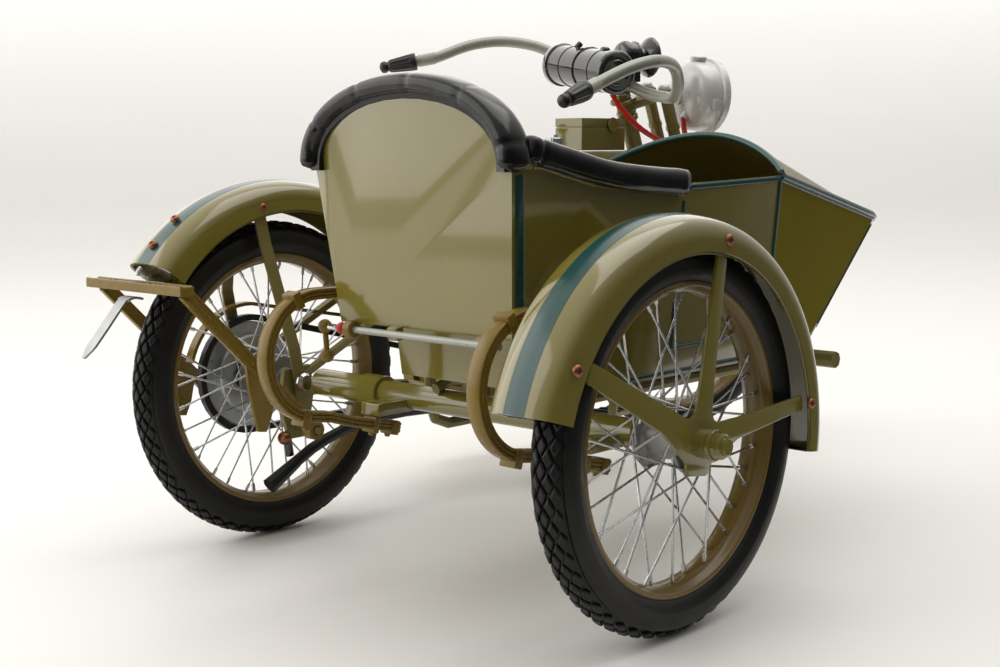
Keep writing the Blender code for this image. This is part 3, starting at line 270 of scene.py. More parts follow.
def leather(name, colour, shade):
    """Glossy black hide: cell grain, creases and a worn, paler bloom."""
    made = new_material(name, colour, 0.3, coat=0.15)
    nodes = Nodes(made)
    nodes.shader.inputs["Specular IOR Level"].default_value = 0.35
    cells = nodes.add("TexVoronoi", ("Vector", nodes.place), ("Scale", 900),
                      feature="DISTANCE_TO_EDGE").outputs[0]
    grain = nodes.bump(nodes.ramp(cells, 0, 0.25), 0.00004, 0.25)
    creases = nodes.bump(nodes.noise(190, 5), 0.0003, 0.2, grain)
    bloom = nodes.ramp(nodes.noise(75, 6), 0.45, 0.75)
    rough = nodes.ramp(nodes.noise(140, 5), 0.3, 0.7, 0.1, 0.22)
    nodes.set(Base_Color=nodes.mix(bloom, colour, shade), Roughness=rough, Normal=creases)
    return made


def plated(name, colour, roughness):
    """Bright or brushed metal with faint scratches."""
    made = new_material(name, colour, roughness[0], 1)
    nodes = Nodes(made)
    rough = nodes.ramp(nodes.noise(300, 6), 0.3, 0.7, *roughness)
    dull = tuple(c * 0.72 for c in colour)
    stain = nodes.mix(nodes.ramp(nodes.noise(90, 5), 0.5, 0.75), colour, dull)
    nodes.set(Base_Color=stain, Roughness=rough, Normal=nodes.bump(nodes.noise(600, 1), 0.000003, 0.2))
    return made


def glass():
    made = new_material("lens_glass", (0.93, 0.96, 0.97), 0.04)
    nodes = Nodes(made)
    nodes.shader.inputs["Transmission Weight"].default_value = 0.92
    nodes.shader.inputs["IOR"].default_value = 1.3
    nodes.set(Roughness=nodes.ramp(nodes.noise(250), 0.3, 0.7, 0.03, 0.12))
    return made


def olive(name, colour, shade):
    return enamel(name, colour, shade, (0.34, 0.31, 0.18), (0.13, 0.17), coat=OLIVE_COAT)


def floor_paint():
    """White paper, which glows a little towards the top of the backdrop."""
    made = new_material("paper_white", (0.86, 0.85, 0.83), 0.55)
    nodes = Nodes(made)
    base = nodes.mix(nodes.noise(3), (0.8, 0.786, 0.763), (0.82, 0.806, 0.783))
    nodes.shader.inputs["Emission Color"].default_value = (*WARM, 1)
    height = nodes.add("SeparateXYZ", ("Vector", nodes.place)).outputs["Z"]
    nodes.set(Base_Color=base, Emission_Strength=nodes.ramp(height, 0, 1.5, 0, GLOW))
    return made


OLIVE_COAT = 0.8
FLOOR = floor_paint()
OLIVE = olive("olive_gloss", (0.178, 0.147, 0.0235), (0.188, 0.155, 0.027))
TAN = moulded("tan_plastic", (0.19, 0.122, 0.02), (0.21, 0.138, 0.025), (0.2, 0.32), 0.00001, 500, shine=0.3)
RIM_TAN = moulded("rim_plastic", (0.15, 0.094, 0.02), (0.17, 0.108, 0.025), (0.17, 0.28), 0.00001, 500)
TEAL = enamel("teal_lining", (0.008, 0.056, 0.05), (0.009, 0.062, 0.056), (0.05, 0.09, 0.08), (0.24, 0.3),
              coat=0.1)
BLACK = enamel("black_gloss", (0.004, 0.004, 0.0045), (0.006, 0.006, 0.006), (0.04, 0.04, 0.04), (0.08, 0.14))
RUBBER = moulded("tyre_black", (0.007, 0.007, 0.007), (0.011, 0.0108, 0.0105), (0.34, 0.46), 0.00003, 900,
                 shine=0.25)
GRIP = moulded("grip_black", (0.008, 0.008, 0.0085), (0.014, 0.0135, 0.013), (0.3, 0.42), 0.00003, 1100)
HIDE = leather("black_hide", (0.004, 0.004, 0.0045), (0.012, 0.012, 0.0125))
STEEL = plated("bright_wire", (0.66, 0.665, 0.67), (0.2, 0.34))
CLIP = plated("spring_clip", (0.34, 0.345, 0.34), (0.3, 0.45))
ALLOY = moulded("cast_grey", (0.25, 0.25, 0.235), (0.31, 0.305, 0.285), (0.35, 0.5), 0.00006, 500, 0.5)
SATIN = moulded("satin_grey_paint", (0.33, 0.34, 0.29), (0.37, 0.38, 0.33), (0.26, 0.36), 0.00001, 400, 0.25)
SILVER = moulded("silver_lamp_paint", (0.62, 0.62, 0.6), (0.66, 0.66, 0.64), (0.26, 0.34), 0.00001, 300, 0.2)
BODY_OLIVE = olive("body_olive_gloss", (0.19, 0.158, 0.0245), (0.2, 0.166, 0.028))
COPPER = plated("copper_screw", (0.3, 0.125, 0.07), (0.34, 0.5))
HOSE = moulded("red_rubber", (0.5, 0.012, 0.008), (0.6, 0.02, 0.012), (0.28, 0.42), 0.00004)
GLASS = glass()
DRUM = plated("drum_zinc", (0.5, 0.52, 0.54), (0.25, 0.42))
BOW_Y = 100
BOW_FADE = 0.003  # metres


def dull_the_bow():
    """Leaves the gloss off the bow, where it would only mirror the backdrop and hide the paint's colour."""
    nodes = Nodes(BODY_OLIVE)
    ahead = nodes.add("SeparateXYZ", ("Vector", nodes.place)).outputs["Y"]
    bow = DATUM.y + BOW_Y * MM
    for socket, gloss in (("Coat_Weight", OLIVE_COAT), ("Specular_IOR_Level", 0.5)):
        nodes.set(**{socket: nodes.ramp(ahead, bow, bow + BOW_FADE, gloss, 0)})


dull_the_bow()

SLOT_LOOKS = {
    "olive_enamel": OLIVE,
    "tan_moulding": TAN,
    "cast_alloy": ALLOY,
    "black_enamel": BLACK,
    "tyre_rubber": RUBBER,
    "grip_rubber": GRIP,
    "black_leather": HIDE,
    "bright_steel": STEEL,
    "satin_steel": SATIN,
    "silver_paint": SILVER,
    "lamp_glass": GLASS,
    "red_hose": HOSE,
}
NODE_SLOTS = {node: row["slot"] for row in frame["record"]["materials"] for node in row.get("nodes", [])}


def paint_nodes():
    """Every carried-over CAD node takes its slot's finish, but the rear axle takes the darker cast grey in
    place of its bright steel: painted shade for where it sits behind the C-spring.
    """
    for node, slot in NODE_SLOTS.items():
        NODES[node].data.materials.clear()
        # the rear axle's cast grey is painted shade, for where it sits behind the C-spring
        NODES[node].data.materials.append(ALLOY if node == "rear_axle" else SLOT_LOOKS[slot])


# ---------------------------------------------------------------- modelling helpers


def piece_from(name, shape, look, smooth=35):
    """An object from a bmesh, in one material or several, smooth up to that many degrees."""
    mesh = bpy.data.meshes.new(name)
    bmesh.ops.recalc_face_normals(shape, faces=shape.faces)
    shape.to_mesh(mesh)
    shape.free()
    for each in look if isinstance(look, list) else [look]:
        mesh.materials.append(each)
    piece = bpy.data.objects.new(name, mesh)
    bpy.context.scene.collection.objects.link(piece)
    mesh.shade_smooth()
    mesh.set_sharp_from_angle(angle=radians(smooth))
    return piece


def finish(piece, body, slot, *nodes):
    """Puts a piece on its body, in place of the CAD nodes named, and turned with the bars; slot is not used.
    """
    if body in ("steering", "front_wheel"):
        piece.data.transform(STEERED)
    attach(piece, body)
    if nodes:
        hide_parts(*nodes)


def put(name, shape, look, body, slot, *nodes, smooth=35):
    """Makes a piece from a bmesh and finishes it."""
    finish(piece_from(name, shape, look, smooth), body, slot, *nodes)


def mirrored(half):
    """A profile and its mirror image, as one closed outline."""
    return half + [(r, -h) for r, h in half[::-1]]


def chamfered(inner, outer, low, high, edge=0.4):
    """The profile of a ring with cut outer edges."""
    outside = [(outer - edge, low), (outer, low + edge), (outer, high - edge), (outer - edge, high)]
    return [(inner, low), *outside, (inner, high)]


def grid(shape, rows, closed_rows=False, closed_ring=False, looks=None, caps=False):
    """Faces between rows of places, and over both ends with caps. looks(i, j) is a face's material number."""
    rings = [[shape.verts.new(p) for p in row] for row in rows]
    count = len(rings[0])
    last = len(rings) if closed_rows else len(rings) - 1
    for i in range(last):
        low, high = rings[i], rings[(i + 1) % len(rings)]
        for j in range(count if closed_ring else count - 1):
            k = (j + 1) % count
            face = shape.faces.new((low[j], low[k], high[k], high[j]))
            if looks:
                face.material_index = looks(i, j)
    if caps:
        shape.faces.new(rings[0])
        shape.faces.new(rings[-1])
    return rings


def skin(shape, rows):
    """Faces round a stack of closed rings, and over both its ends."""
    grid(shape, rows, False, True, caps=True)


def sheet(shape, tops, unders):
    """A closed sheet between two grids of places with the same rim."""
    rims = []
    for rows in (tops, unders):
        verts = grid(shape, rows)
        rims.append(verts[0] + [r[-1] for r in verts[1:]] + verts[-1][-2::-1]
                    + [r[0] for r in verts[-2:0:-1]])
    upper, lower = rims
    for k, vert in enumerate(upper):
        n = (k + 1) % len(upper)
        shape.faces.new((vert, upper[n], lower[n], lower[k]))


def spun(name, profile, centre, look, steps=96, axis="X", looks=None, span=None, smooth=35):
    """A closed (radius, place along the axis) profile turned about an axis through centre."""
    start, stop = span or (0, 360)
    frame_of = {"X": ((0, 1, 0), (0, 0, 1), (1, 0, 0)), "Y": ((1, 0, 0), (0, 0, 1), (0, 1, 0)),
                "Z": ((1, 0, 0), (0, 1, 0), (0, 0, 1))}[axis]
    u, v, w = (Vector(d) * MM for d in frame_of)
    shape = bmesh.new()
    rows = []
    for i in range(steps + (1 if span else 0)):
        a = radians(start + (stop - start) * i / steps)
        rows.append([at(*centre) + (u * cos(a) + v * sin(a)) * r + w * h for r, h in profile])
    grid(shape, rows, not span, True, looks, caps=bool(span))
    return piece_from(name, shape, look, smooth)


def smooth_line(points, steps=6):
    """Places on a smooth curve through the given points."""
    knots = [Vector(p) for p in points]
    knots = [2 * knots[0] - knots[1], *knots, 2 * knots[-1] - knots[-2]]
    route = []
    for a, b, c, d in zip(knots, knots[1:], knots[2:], knots[3:]):
        for i in range(steps):
            t = i / steps
            route.append(0.5 * (2 * b + (c - a) * t + (2 * a - 5 * b + 4 * c - d) * t**2
                                + (3 * b - a - 3 * c + d) * t**3))
    return [*route, knots[-2]]


def swept(shape, route, section, up=Z_WAY):
    """A section carried along a route of datum places; section(i) lists (across, up) millimetres."""
    rows = []
    for i, point in enumerate(route):
        ahead = (route[min(i + 1, len(route) - 1)] - route[max(i - 1, 0)]).normalized()
        side = ahead.cross(up).normalized()
        top = side.cross(ahead)
        rows.append([at(*(point + side * a + top * b)) for a, b in section(i)])
    skin(shape, rows)


def circle(radius, count):
    turns = [2 * pi * k / count for k in range(count)]
    return [(radius * cos(a), radius * sin(a)) for a in turns]


def tube(shape, points, radius, count=10, up=Z_WAY):
    """A round bar through the points."""
    route = [Vector(p) for p in points]
    swept(shape, route, lambda i: circle(radius, count), up)


def dome(shape, place, facing, radius, height, slots=True, steps=14):
    """A domed screw head with a sunk middle, or a rivet without one."""
    turn = Vector(facing).normalized().to_track_quat("Z", "Y").to_matrix()
    levels = [(1, -0.3), (1, 0.25), (0.86, 0.62), (0.6, 0.88)]
    levels += [(0.52, 0.9), (0.4, 0.55), (0.001, 0.5)] if slots else [(0.3, 0.98), (0.001, 1)]
    rows = []
    for scale, h in levels:
        ring = circle(radius * scale, steps)
        rows.append([at(*(Vector(place) + turn @ Vector((*p, h * height)))) for p in ring])
    skin(shape, rows)


def round_off(shape, edges, width, clamp=False):
    """Small rounded edges, width millimetres wide."""
    bmesh.ops.bevel(shape, geom=edges, offset=width * MM, segments=2, profile=0.6, affect="EDGES",
                    clamp_overlap=clamp)


def rounded_copy(node, width, angle):
    """The node's own shape with small rounded edges."""
    shape = bmesh.new()
    shape.from_mesh(NODES[node].data)
    bmesh.ops.remove_doubles(shape, verts=shape.verts, dist=2e-6)
    bmesh.ops.dissolve_limit(shape, angle_limit=radians(1.5), verts=shape.verts, edges=shape.edges)
    sharp = [e for e in shape.edges if len(e.link_faces) == 2 and e.calc_face_angle(0) > radians(angle)]
    round_off(shape, sharp, width, True)
    return shape


# ---------------------------------------------------------------- wheels

WHEEL_R = 59.25
TUBE_R = 7.26
TUBE_CENTRE_R = WHEEL_R - TUBE_R
SPOKES = 36
NIPPLE_R = 43.9
TREAD_PITCHES = 54
REAR_WHEEL = (0, 0, AXLE_Z)
SIDE_WHEEL = (SIDE_X, SIDE_Y, AXLE_Z)
FRONT_WHEEL = (0, WHEELBASE, AXLE_Z)


def tyre(prefix, centre, body):
    """The carcass with its sidewall ribs, and leaf-shaped tread blocks in five crossed rows."""
    centre_at = at(*centre)

    def on_tube(turn, across, radius):
        out = TUBE_CENTRE_R + radius * cos(across)
        return centre_at + Vector((radius * sin(across), out * cos(turn), out * sin(turn))) * MM

    profile = []
    for degrees in range(-128, 129, 4):
        radius = TUBE_R - 1.05 if abs(degrees) <= 52 else TUBE_R - 0.08
        if abs(degrees) in (64, 100):
            radius += 0.1
        profile.append((radians(degrees), radius))
    steps = 128
    shape = bmesh.new()
    rows = []
    for i in range(steps):
        turn = 2 * pi * i / steps
        row = [on_tube(turn, across, radius) for across, radius in profile]
        inner = [(45.4, 2.9), (45.4, -2.9)]
        row += [centre_at + Vector((x, r * cos(turn), r * sin(turn))) * MM for r, x in inner]
        rows.append(row)
    grid(shape, rows, True, True)
    half_u, half_v = pi * WHEEL_R / TREAD_PITCHES, 2.2  # half a block's length and width
    leaf = [(1, 0), (0.6, 0.5), (0, 1), (-0.6, 0.5), (-1, 0), (-0.6, -0.5), (0, -1), (0.6, -0.5)]
    for row in range(-2, 3):
        for i in range(TREAD_PITCHES):
            u = (2 * i + row % 2) * half_u
            v = row * half_v
            lean = 0.5 if row % 2 else -0.5
            rings = []
            for scale, lift in ((1, -1.3), (0.9, -0.3), (0.62, 0.02)):
                ring = []
                for a, b in leaf:
                    du = (a * (half_u - 0.5) + lean * b) * scale
                    dv = b * (half_v - 0.48) * scale
                    ring.append(on_tube((u + du) / WHEEL_R, (v + dv) / TUBE_R, TUBE_R + lift))
                rings.append(ring)
            skin(shape, rings)
    put(prefix + "_treaded_tyre", shape, RUBBER, body, "tyre_rubber", prefix + "_tyre", smooth=28)


def rim(prefix, centre, body):
    """A rolled rim with a flat well and curled edges."""
    profile = mirrored([(47.1, 5.05), (46.2, 4.3), (45, 3.45)])
    profile += mirrored([(46.5, -5.5), (45.7, -5.35), (45.2, -4.8), (44.6, -3.6), (43.8, -2.9)])
    piece = spun(prefix + "_rolled_rim", profile, centre, RIM_TAN, 128, smooth=50)
    finish(piece, body, "olive_enamel", prefix + "_rim")


def laced_hub(prefix, centre, body, half, barrel_r, flange_r, hole_x, hole_r):
    """A turned hub, thirty-six crossed wire spokes and their nipples in the rim."""
    inner, outer = half - 2.4, half - 1.2
    side = [(2.6, half), (4, half), (4.3, half - 0.2), (4.6, outer + 0.1), (flange_r - 0.3, outer),
            (flange_r, outer - 0.3), (flange_r, inner + 0.3), (flange_r - 0.3, inner),
            (barrel_r + 0.8, inner - 0.3), (barrel_r, inner - 1.4)]
    hub = spun(prefix + "_hub", mirrored(side), centre, ALLOY, 48)
    finish(hub, body, "bright_steel", prefix + "_spokes")
    wires = bmesh.new()
    nipples = bmesh.new()
    place = Vector(centre)
    for i in range(SPOKES):
        side_of = 1 if i % 2 else -1
        lean = 1 if i % 4 < 2 else -1
        rim_turn = 2 * pi * (i + 0.1 * lean) / SPOKES
        hub_turn = rim_turn + lean * radians(68)
        start = Vector((side_of * hole_x + 0.75 * lean, hole_r * cos(hub_turn), hole_r * sin(hub_turn)))
        end = Vector((1.2 * side_of, NIPPLE_R * cos(rim_turn), NIPPLE_R * sin(rim_turn)))
        along = (end - start).normalized()
        elbow = start - Vector((1.5 * lean, 0, 0))
        tube(wires, [place + elbow, place + start + along * 0.3, place + end], 0.4, 6, X_WAY)
        tube(nipples, [place + end - along * 3, place + end - along * 0.3], 0.72, 6, X_WAY)
    put(prefix + "_wires", wires, STEEL, body, "bright_steel", smooth=80)
    put(prefix + "_nipples", nipples, STEEL, body, "bright_steel", smooth=80)


def brake_drum():
    """The drum with its flange, and the sprocket beside it."""
    profile = [(3, -10), (14.6, -10), (15, -10.2), (15.6, -10.8), (15.6, -12.9), (20, -12.9), (20.3, -13.2),
               (20.3, -13.9), (20, -14.2), (15, -14.2), (14.6, -14.6), (14.6, -16), (14.2, -16.2), (11, -16),
               (10.6, -15.6), (7, -15.6), (6.6, -16), (5, -16.2), (5, -17.2), (3, -17.2)]
    finish(spun("ribbed_drum", profile, REAR_WHEEL, DRUM, 80), "rear_wheel", "bright_steel", "brake_drum")


def wheels():
    for prefix, centre, body in (
        ("rear", REAR_WHEEL, "rear_wheel"),
        ("sidecar", SIDE_WHEEL, "sidecar_wheel"),
        ("front", FRONT_WHEEL, "front_wheel"),
    ):
        tyre(prefix, centre, body)
        rim(prefix, centre, body)
    laced_hub("rear", REAR_WHEEL, "rear_wheel", 9.6, 5.2, 9, 7.8, 8.2)
    laced_hub("sidecar", SIDE_WHEEL, "sidecar_wheel", 9, 6.2, 9.6, 7.2, 8.8)
    laced_hub("front", FRONT_WHEEL, "front_wheel", 9.4, 4.6, 8.6, 7.6, 7.8)
    brake_drum()


# ---------------------------------------------------------------- fenders


FENDER_HALF = 0.48  # half the sheet's thickness
WIRE_R = 0.62  # of the wired edges


def fender(name, node, centre, section, span, body, stripe=None):
    """A pressed fender with wired edges; stripe is half the width of its lined crown, where it has one."""
    half = smooth_line([(r, h, 0) for r, h in section], 4)
    outline = [(p.x, p.y) for p in half] + [(p.x, -p.y) for p in half[-2::-1]]
    if stripe:
        for h in (stripe, stripe - 0.35):
            for sign in (1, -1):
                nearest = min(range(len(outline)), key=lambda k: abs(outline[k][1] - sign * h)
                              + (1 if outline[k][0] < section[-1][0] - 3 else 0))
                outline.insert(nearest, (outline[nearest][0], sign * h))
    outer, inner = [], []
    for k, (r, h) in enumerate(outline):
        before, after = outline[max(k - 1, 0)], outline[min(k + 1, len(outline) - 1)]
        along = Vector((after[0] - before[0], after[1] - before[1])).normalized()
        normal = Vector((-along.y, along.x))
        if normal.dot(Vector((r - 60, h))) < 0:
            normal = -normal
        outer.append((r + normal.x * FENDER_HALF, h + normal.y * FENDER_HALF))
        inner.append((r - normal.x * FENDER_HALF, h - normal.y * FENDER_HALF))
    edge_r, edge_h = outline[0]
    wire = [radians(d) for d in (20, -25, -70, -115, -160)]
    bead_half = [(edge_r - 0.25 + WIRE_R * cos(a), edge_h + WIRE_R * sin(a)) for a in wire]
    profile = outer + [(r, -h) for r, h in bead_half] + inner[::-1] + bead_half[::-1]
    stripes = len(outer)

    def looks(i, j):
        if stripe is None or j >= stripes - 1:
            return 0
        return 1 if abs(profile[j][1] + profile[j + 1][1]) / 2 < stripe else 0

    piece = spun(name, profile, centre, [OLIVE, TEAL] if stripe else OLIVE, 84, looks=looks, span=span,
                 smooth=60)
    finish(piece, body, "olive_enamel", node)


def fenders():
    """The three fenders, their screws, the oiler and the tab at the tail."""
    fender("rear_fender_shell", "rear_fender", (0, 3, 60),
           [(62.7, 12), (68.5, 11.8), (71.5, 9.4), (73, 5), (73.3, 0)], (8.1, 141.7), "frame", 3.4)
    fender("sidecar_fender_shell", "sidecar_fender", (SIDE_X, 3, 55),
           [(60.2, 11.6), (65, 11.5), (68.5, 9.5), (70.1, 5), (70.6, 0)], (-6.9, 162.9), "frame", 3.6)
    fender("front_fender_shell", "front_fender", (0, WHEELBASE, AXLE_Z),
           [(62, 10.3), (63.4, 9.4), (64.7, 5), (65, 0)], (48.2, 185.8), "steering")
    shape = bmesh.new()
    dome(shape, (0, -40.6, 120.6), (0, -0.55, 0.83), 1.7, 1.2)
    dome(shape, (0, -50.1, 112), (0, -0.7, 0.7), 1.7, 1.2)
    dome(shape, (12.2, -11, 124), (1, 0, 0.12), 1.7, 1.1)
    for y, z in ((-53, 87.4), (15.6, 118), (62.8, 63.5)):
        dome(shape, (SIDE_X + 12.2, y, z), (1, 0, 0), 1.8, 1.1)
    put("fender_screws", shape, COPPER, "frame", "bright_steel")
    ball = bmesh.new()
    dome(ball, (15, -6, 38.5), (0.2, -0.9, 0.3), 2.5, 2.3, True, 16)
    put("oiler_ball", ball, COPPER, "frame", "bright_steel", smooth=50)
    funnel = bmesh.new()
    tube(funnel, [(14.6, -4.4, 38.6), (14.6, -4, 35.5), (14.6, -3.4, 31.5)], 1.7, 14, X_WAY)
    put("oiler_cup", funnel, BLACK, "frame", "black_enamel", smooth=50)
    tab = bmesh.new()
    tube(tab, [(0, -55.2, 104.4), (0, -56.5, 103), (0, -56.9, 101.6)], 0.75, 10, X_WAY)
    put("fender_tail_tab", tab, SILVER, "frame", "bright_steel")


# ---------------------------------------------------------------- sidecar body

BODY_HALF = 37.3  # half the body's width where z is 90
BODY_FLARE = 4.7 / 48
BOW_TIP = (238, 112.5)
BOW_FOOT = (192, 70)
DECK_Z = 133.9  # the deck's edge where the bow starts, and how much it falls per millimetre
DECK_FALL = 0.1643
PROW_LOW = 70.6
PROW_HIGH = BOW_TIP[1] - 1.2
RAIL_Z = 139
BODY = NODES["sidecar_tub"].data
BODY_WALLS = BVHTree.FromPolygons([v.co for v in BODY.vertices], [p.vertices for p in BODY.polygons])


def half_width(z):
    return BODY_HALF + (z - 90) * BODY_FLARE


def bow_y(z):
    return BOW_FOOT[0] + (z - BOW_FOOT[1]) * (BOW_TIP[0] - BOW_FOOT[0]) / (BOW_TIP[1] - BOW_FOOT[1])


def on_side(y, z, side=1, lift=0):
    """A place on the body's side panel, lift millimetres proud of it."""
    place, out = BODY_WALLS.ray_cast(at(BODY_X + side * 90, y, z), Vector((-side, 0, 0)))[:2]
    if place is None:
        place, out = BODY_WALLS.find_nearest(at(BODY_X + side * 2, y, z))[:2]
    return (place - DATUM) / MM + out * copysign(lift, out.x * side)


def bead(shape, places, width, height=0.5):
    """A half-round moulding, which lies on the panel along a route of (place, outward) pairs."""
    rows = []
    for i, (place, out) in enumerate(places):
        ahead = (places[min(i + 1, len(places) - 1)][0] - places[max(i - 1, 0)][0]).normalized()
        across = ahead.cross(out).normalized() * width / 2
        lift = out.normalized() * height
        section = [(-1, -0.6), (-1, 0.1), (-0.8, 0.7), (-0.35, 1), (0.35, 1), (0.8, 0.7), (1, 0.1), (1, -0.6)]
        rows.append([at(*(place + across * a + lift * b)) for a, b in section])
    skin(shape, rows)


def side_bead(shape, route, side, width):
    """A moulding on the side panel, along a route of (forward, up) places."""
    steps = 14
    places = []
    for (y0, z0), (y1, z1) in zip(route, route[1:]):
        for k in range(steps + 1):
            t = k / steps
            y, z = y0 + (y1 - y0) * t, z0 + (z1 - z0) * t
            place = on_side(y, z, side)
            places.append((place, on_side(y, z, side, 1) - place))
    bead(shape, places, width)


PANEL_BEADS = [  # the width, and the (forward, up) places it runs through
    (4, (-35.6, 137.4), (-31.2, 95.5)),
    (1.7, (43.8, 131.6), (43.8, 79.7)),
    (1.9, (100, 133.6), (100, 71.2)),
    (1.3, (43.8, 79.7), (100, 79.7)),
    (1.7, (-8.3, 71.4), (100, 71.4)),
    (1.7, (100, 71.4), (190, 71.4)),
    (1.9, (43.5, 132.1), (99.8, 133.9)),
    (2.4, (100.4, 134), (150, 125.8), (200, 117.6), (235.5, 111.8)),
]


def body_lining():
    """The dark green mouldings round the panels, the rails and the bow."""
    shape = bmesh.new()
    for side in (1, -1):
        for width, *route in PANEL_BEADS:
            side_bead(shape, route, side, width)
    heights = [PROW_LOW + (PROW_HIGH - PROW_LOW) * k / 16 for k in range(17)]
    for side in (1, -1):
        prow = [(BODY_X + side * 1.3, bow_y(z) - 0.3, z) for z in heights]
        tube(shape, prow, 1.25, 12, Vector((0, -1, 1)))
        deck = [on_side(y, DECK_Z - (y - BOW_Y) * DECK_FALL, side, 0.3) + Vector((0, 0, 1.2))
                for y in range(101, 236, 9)]
        tube(shape, [tuple(p) for p in deck], 1.3, 12)
    put("body_lining", shape, TEAL, "frame", "olive_enamel", smooth=60)
    cowl = bmesh.new()
    edge = []
    for k in range(33):
        across = -1 + k / 16
        y = BOW_Y + 0.3 + 13 * (1 - across**2)
        z = 136.15 + 13.4 * max(cos(across * pi / 2), 0) ** 0.8
        edge.append(Vector((BODY_X + across * half_width(135), y, z)))
    swept(cowl, edge, lambda i: circle(1.15, 10))
    put("cowl_edge_bead", cowl, TEAL, "frame", "olive_enamel", smooth=60)


def soft_shell(name, node, width, look=None, angle=40):
    """The node's own shape, rounded, with its slot's finish or the look given."""
    slot = NODE_SLOTS.get(node, "olive_enamel")
    piece = piece_from(name, rounded_copy(node, width, angle), look or SLOT_LOOKS[slot], 24)
    finish(piece, NODES[node]["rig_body"], slot, node)


SQUARENESS = 0.72  # of a roll's section: 1 is an ellipse, 0 a rectangle


def pleated(s, seams, width):
    """From 0 at a seam to 1 on the fullness between two seams."""
    nearest = min(abs(s - seam) for seam in seams)
    return 1 - exp(-((nearest / width) ** 2))


def roll(name, route, size, seams, node, up, end_length=3, seed=1):
    """A stuffed hide roll: full between its seams, pinched at each, and rounded off at both ends."""
    rng = random.Random(seed)
    phases = [rng.uniform(0, 6.28) for _ in range(6)]
    lengths = [0]
    for a, b in zip(route, route[1:]):
        lengths.append(lengths[-1] + (b - a).length)
    total = lengths[-1]
    count = 28

    def section(i):
        s = lengths[i]
        full = 0.92 + 0.08 * pleated(s, seams, 0.9)
        end = min(s, total - s)
        if end < end_length:
            full *= sqrt(max(1 - (1 - end / end_length) ** 2, 0.02))
        points = []
        for k in range(count):
            a = 2 * pi * k / count
            ca, sa = cos(a), sin(a)
            x = copysign(abs(ca) ** SQUARENESS, ca) * size[0]
            y = copysign(abs(sa) ** SQUARENESS, sa) * size[1]
            wobble = 0.07 * sin(3 * a + s * 0.25 + phases[0]) + 0.05 * sin(5 * a - s * 0.4 + phases[1])
            fold = 0.12 * exp(-((s % 11 - 5.5) / 1.2) ** 2) * sin(a + phases[2])
            grow = full + (wobble - fold) / max(size) * 0.5
            points.append((x * grow, y * grow))
        return points

    shape = bmesh.new()
    swept(shape, route, section, up)
    piece = piece_from(name, shape, HIDE, 80)
    finish(piece, "frame", "black_leather", node)


def trim():
    """The roll over the arched back, and one along each side's top edge."""
    half = half_width(RAIL_Z) - 3
    arch = []
    for k in range(121):
        a = pi * k / 120
        arch.append(Vector((BODY_X + (half + 3.5) * cos(a), -38.6, 139.6 + 24.4 * sin(a) ** 0.9)))
    foot = Vector((0, 0, 1.4))
    arch = [arch[0] - foot, *arch, arch[-1] - foot]
    seams = [7.4, 29.4, 51.4, 73.4, 95.4, 113.4]
    roll("backrest_roll", arch, (3.15, 5.7), seams, "backrest_trim", Y_WAY, seed=3)
    under = bmesh.new()
    swept(under, arch, lambda i: [(1, -3), (4.4, -2.6), (4.4, 4), (1, 4.4)], Y_WAY)
    put("backrest_lining", under, HIDE, "frame", "black_leather", smooth=50)
    for side, name in ((1, "arm_roll_right"), (-1, "arm_roll_left")):
        x = BODY_X + side * (half_width(RAIL_Z) + 0.2)
        line = [(x, -34.5, 145), (x, -26, 143.1), (x, -4, 138.3), (x, 12, 136), (x, 43, 133.8)]
        path = smooth_line(line, 14)
        node = "arm_trim_right" if side > 0 else "arm_trim_left"
        roll(name, path, (3.75, 4.05), [5.5], node, Z_WAY, end_length=2.4, seed=5 + side)


PAD_CHANNELS = 7


def pad(name, centre, size, turn, seed):
    """A crowned hide pad with sewn channels and piped edges; size is the half of each side."""
    rng = random.Random(seed)
    wave = [rng.uniform(0, 6.28) for _ in range(4)]
    across, deep = 56, 40
    shape = bmesh.new()
    tilt = Matrix.Rotation(radians(turn), 3, "X")

    def place(u, v, top):
        edge = (1 - abs(u) ** 5) * (1 - abs(v) ** 5)
        height = size[2] * (0.35 + 0.65 * edge ** 0.45) if top else -size[2]
        if top:
            cell = abs((u * 0.5 + 0.5) * PAD_CHANNELS % 1 - 0.5) * 2
            height -= 1.3 * exp(-(((1 - cell) * size[0] / PAD_CHANNELS) / 0.9) ** 2) * edge ** 0.3
            height += 0.22 * sin(9 * v + 5 * u + wave[0]) * edge + 0.15 * sin(17 * u - 4 * v + wave[1]) * edge
        pull = 1 - 0.03 * (1 - abs(v)) * (abs(u) > 0.97) - 0.02 * (1 - abs(u)) * (abs(v) > 0.97)
        local = Vector((u * size[0] * pull, v * size[1] * pull, height))
        return at(*(Vector(centre) + tilt @ local))

    def spread(k, count):
        t = -1 + 2 * k / count
        return copysign(1 - (1 - abs(t)) ** 1.25, t)

    columns = [spread(i, across) for i in range(across + 1)]
    tops, unders = (
        [[place(u, spread(j, deep), top) for u in columns] for j in range(deep + 1)] for top in (True, False)
    )
    sheet(shape, tops, unders)
    piece = piece_from(name, shape, HIDE, 75)
    piping = bmesh.new()
    edge = (-1, -0.5, 0, 0.5, 1)
    loop = [(u, -1) for u in edge] + [(1, 0)] + [(u, 1) for u in edge[::-1]] + [(-1, 0), (-1, -1)]
    ring = []
    for u, v in loop:
        local = Vector((u * (size[0] - 0.4), v * (size[1] - 0.4), size[2] * 0.36))
        ring.append(Vector(centre) + tilt @ local)
    tube(piping, ring, 0.55, 8, tilt @ Z_WAY)
    return piece, piece_from(name + "_piping", piping, HIDE, 60)


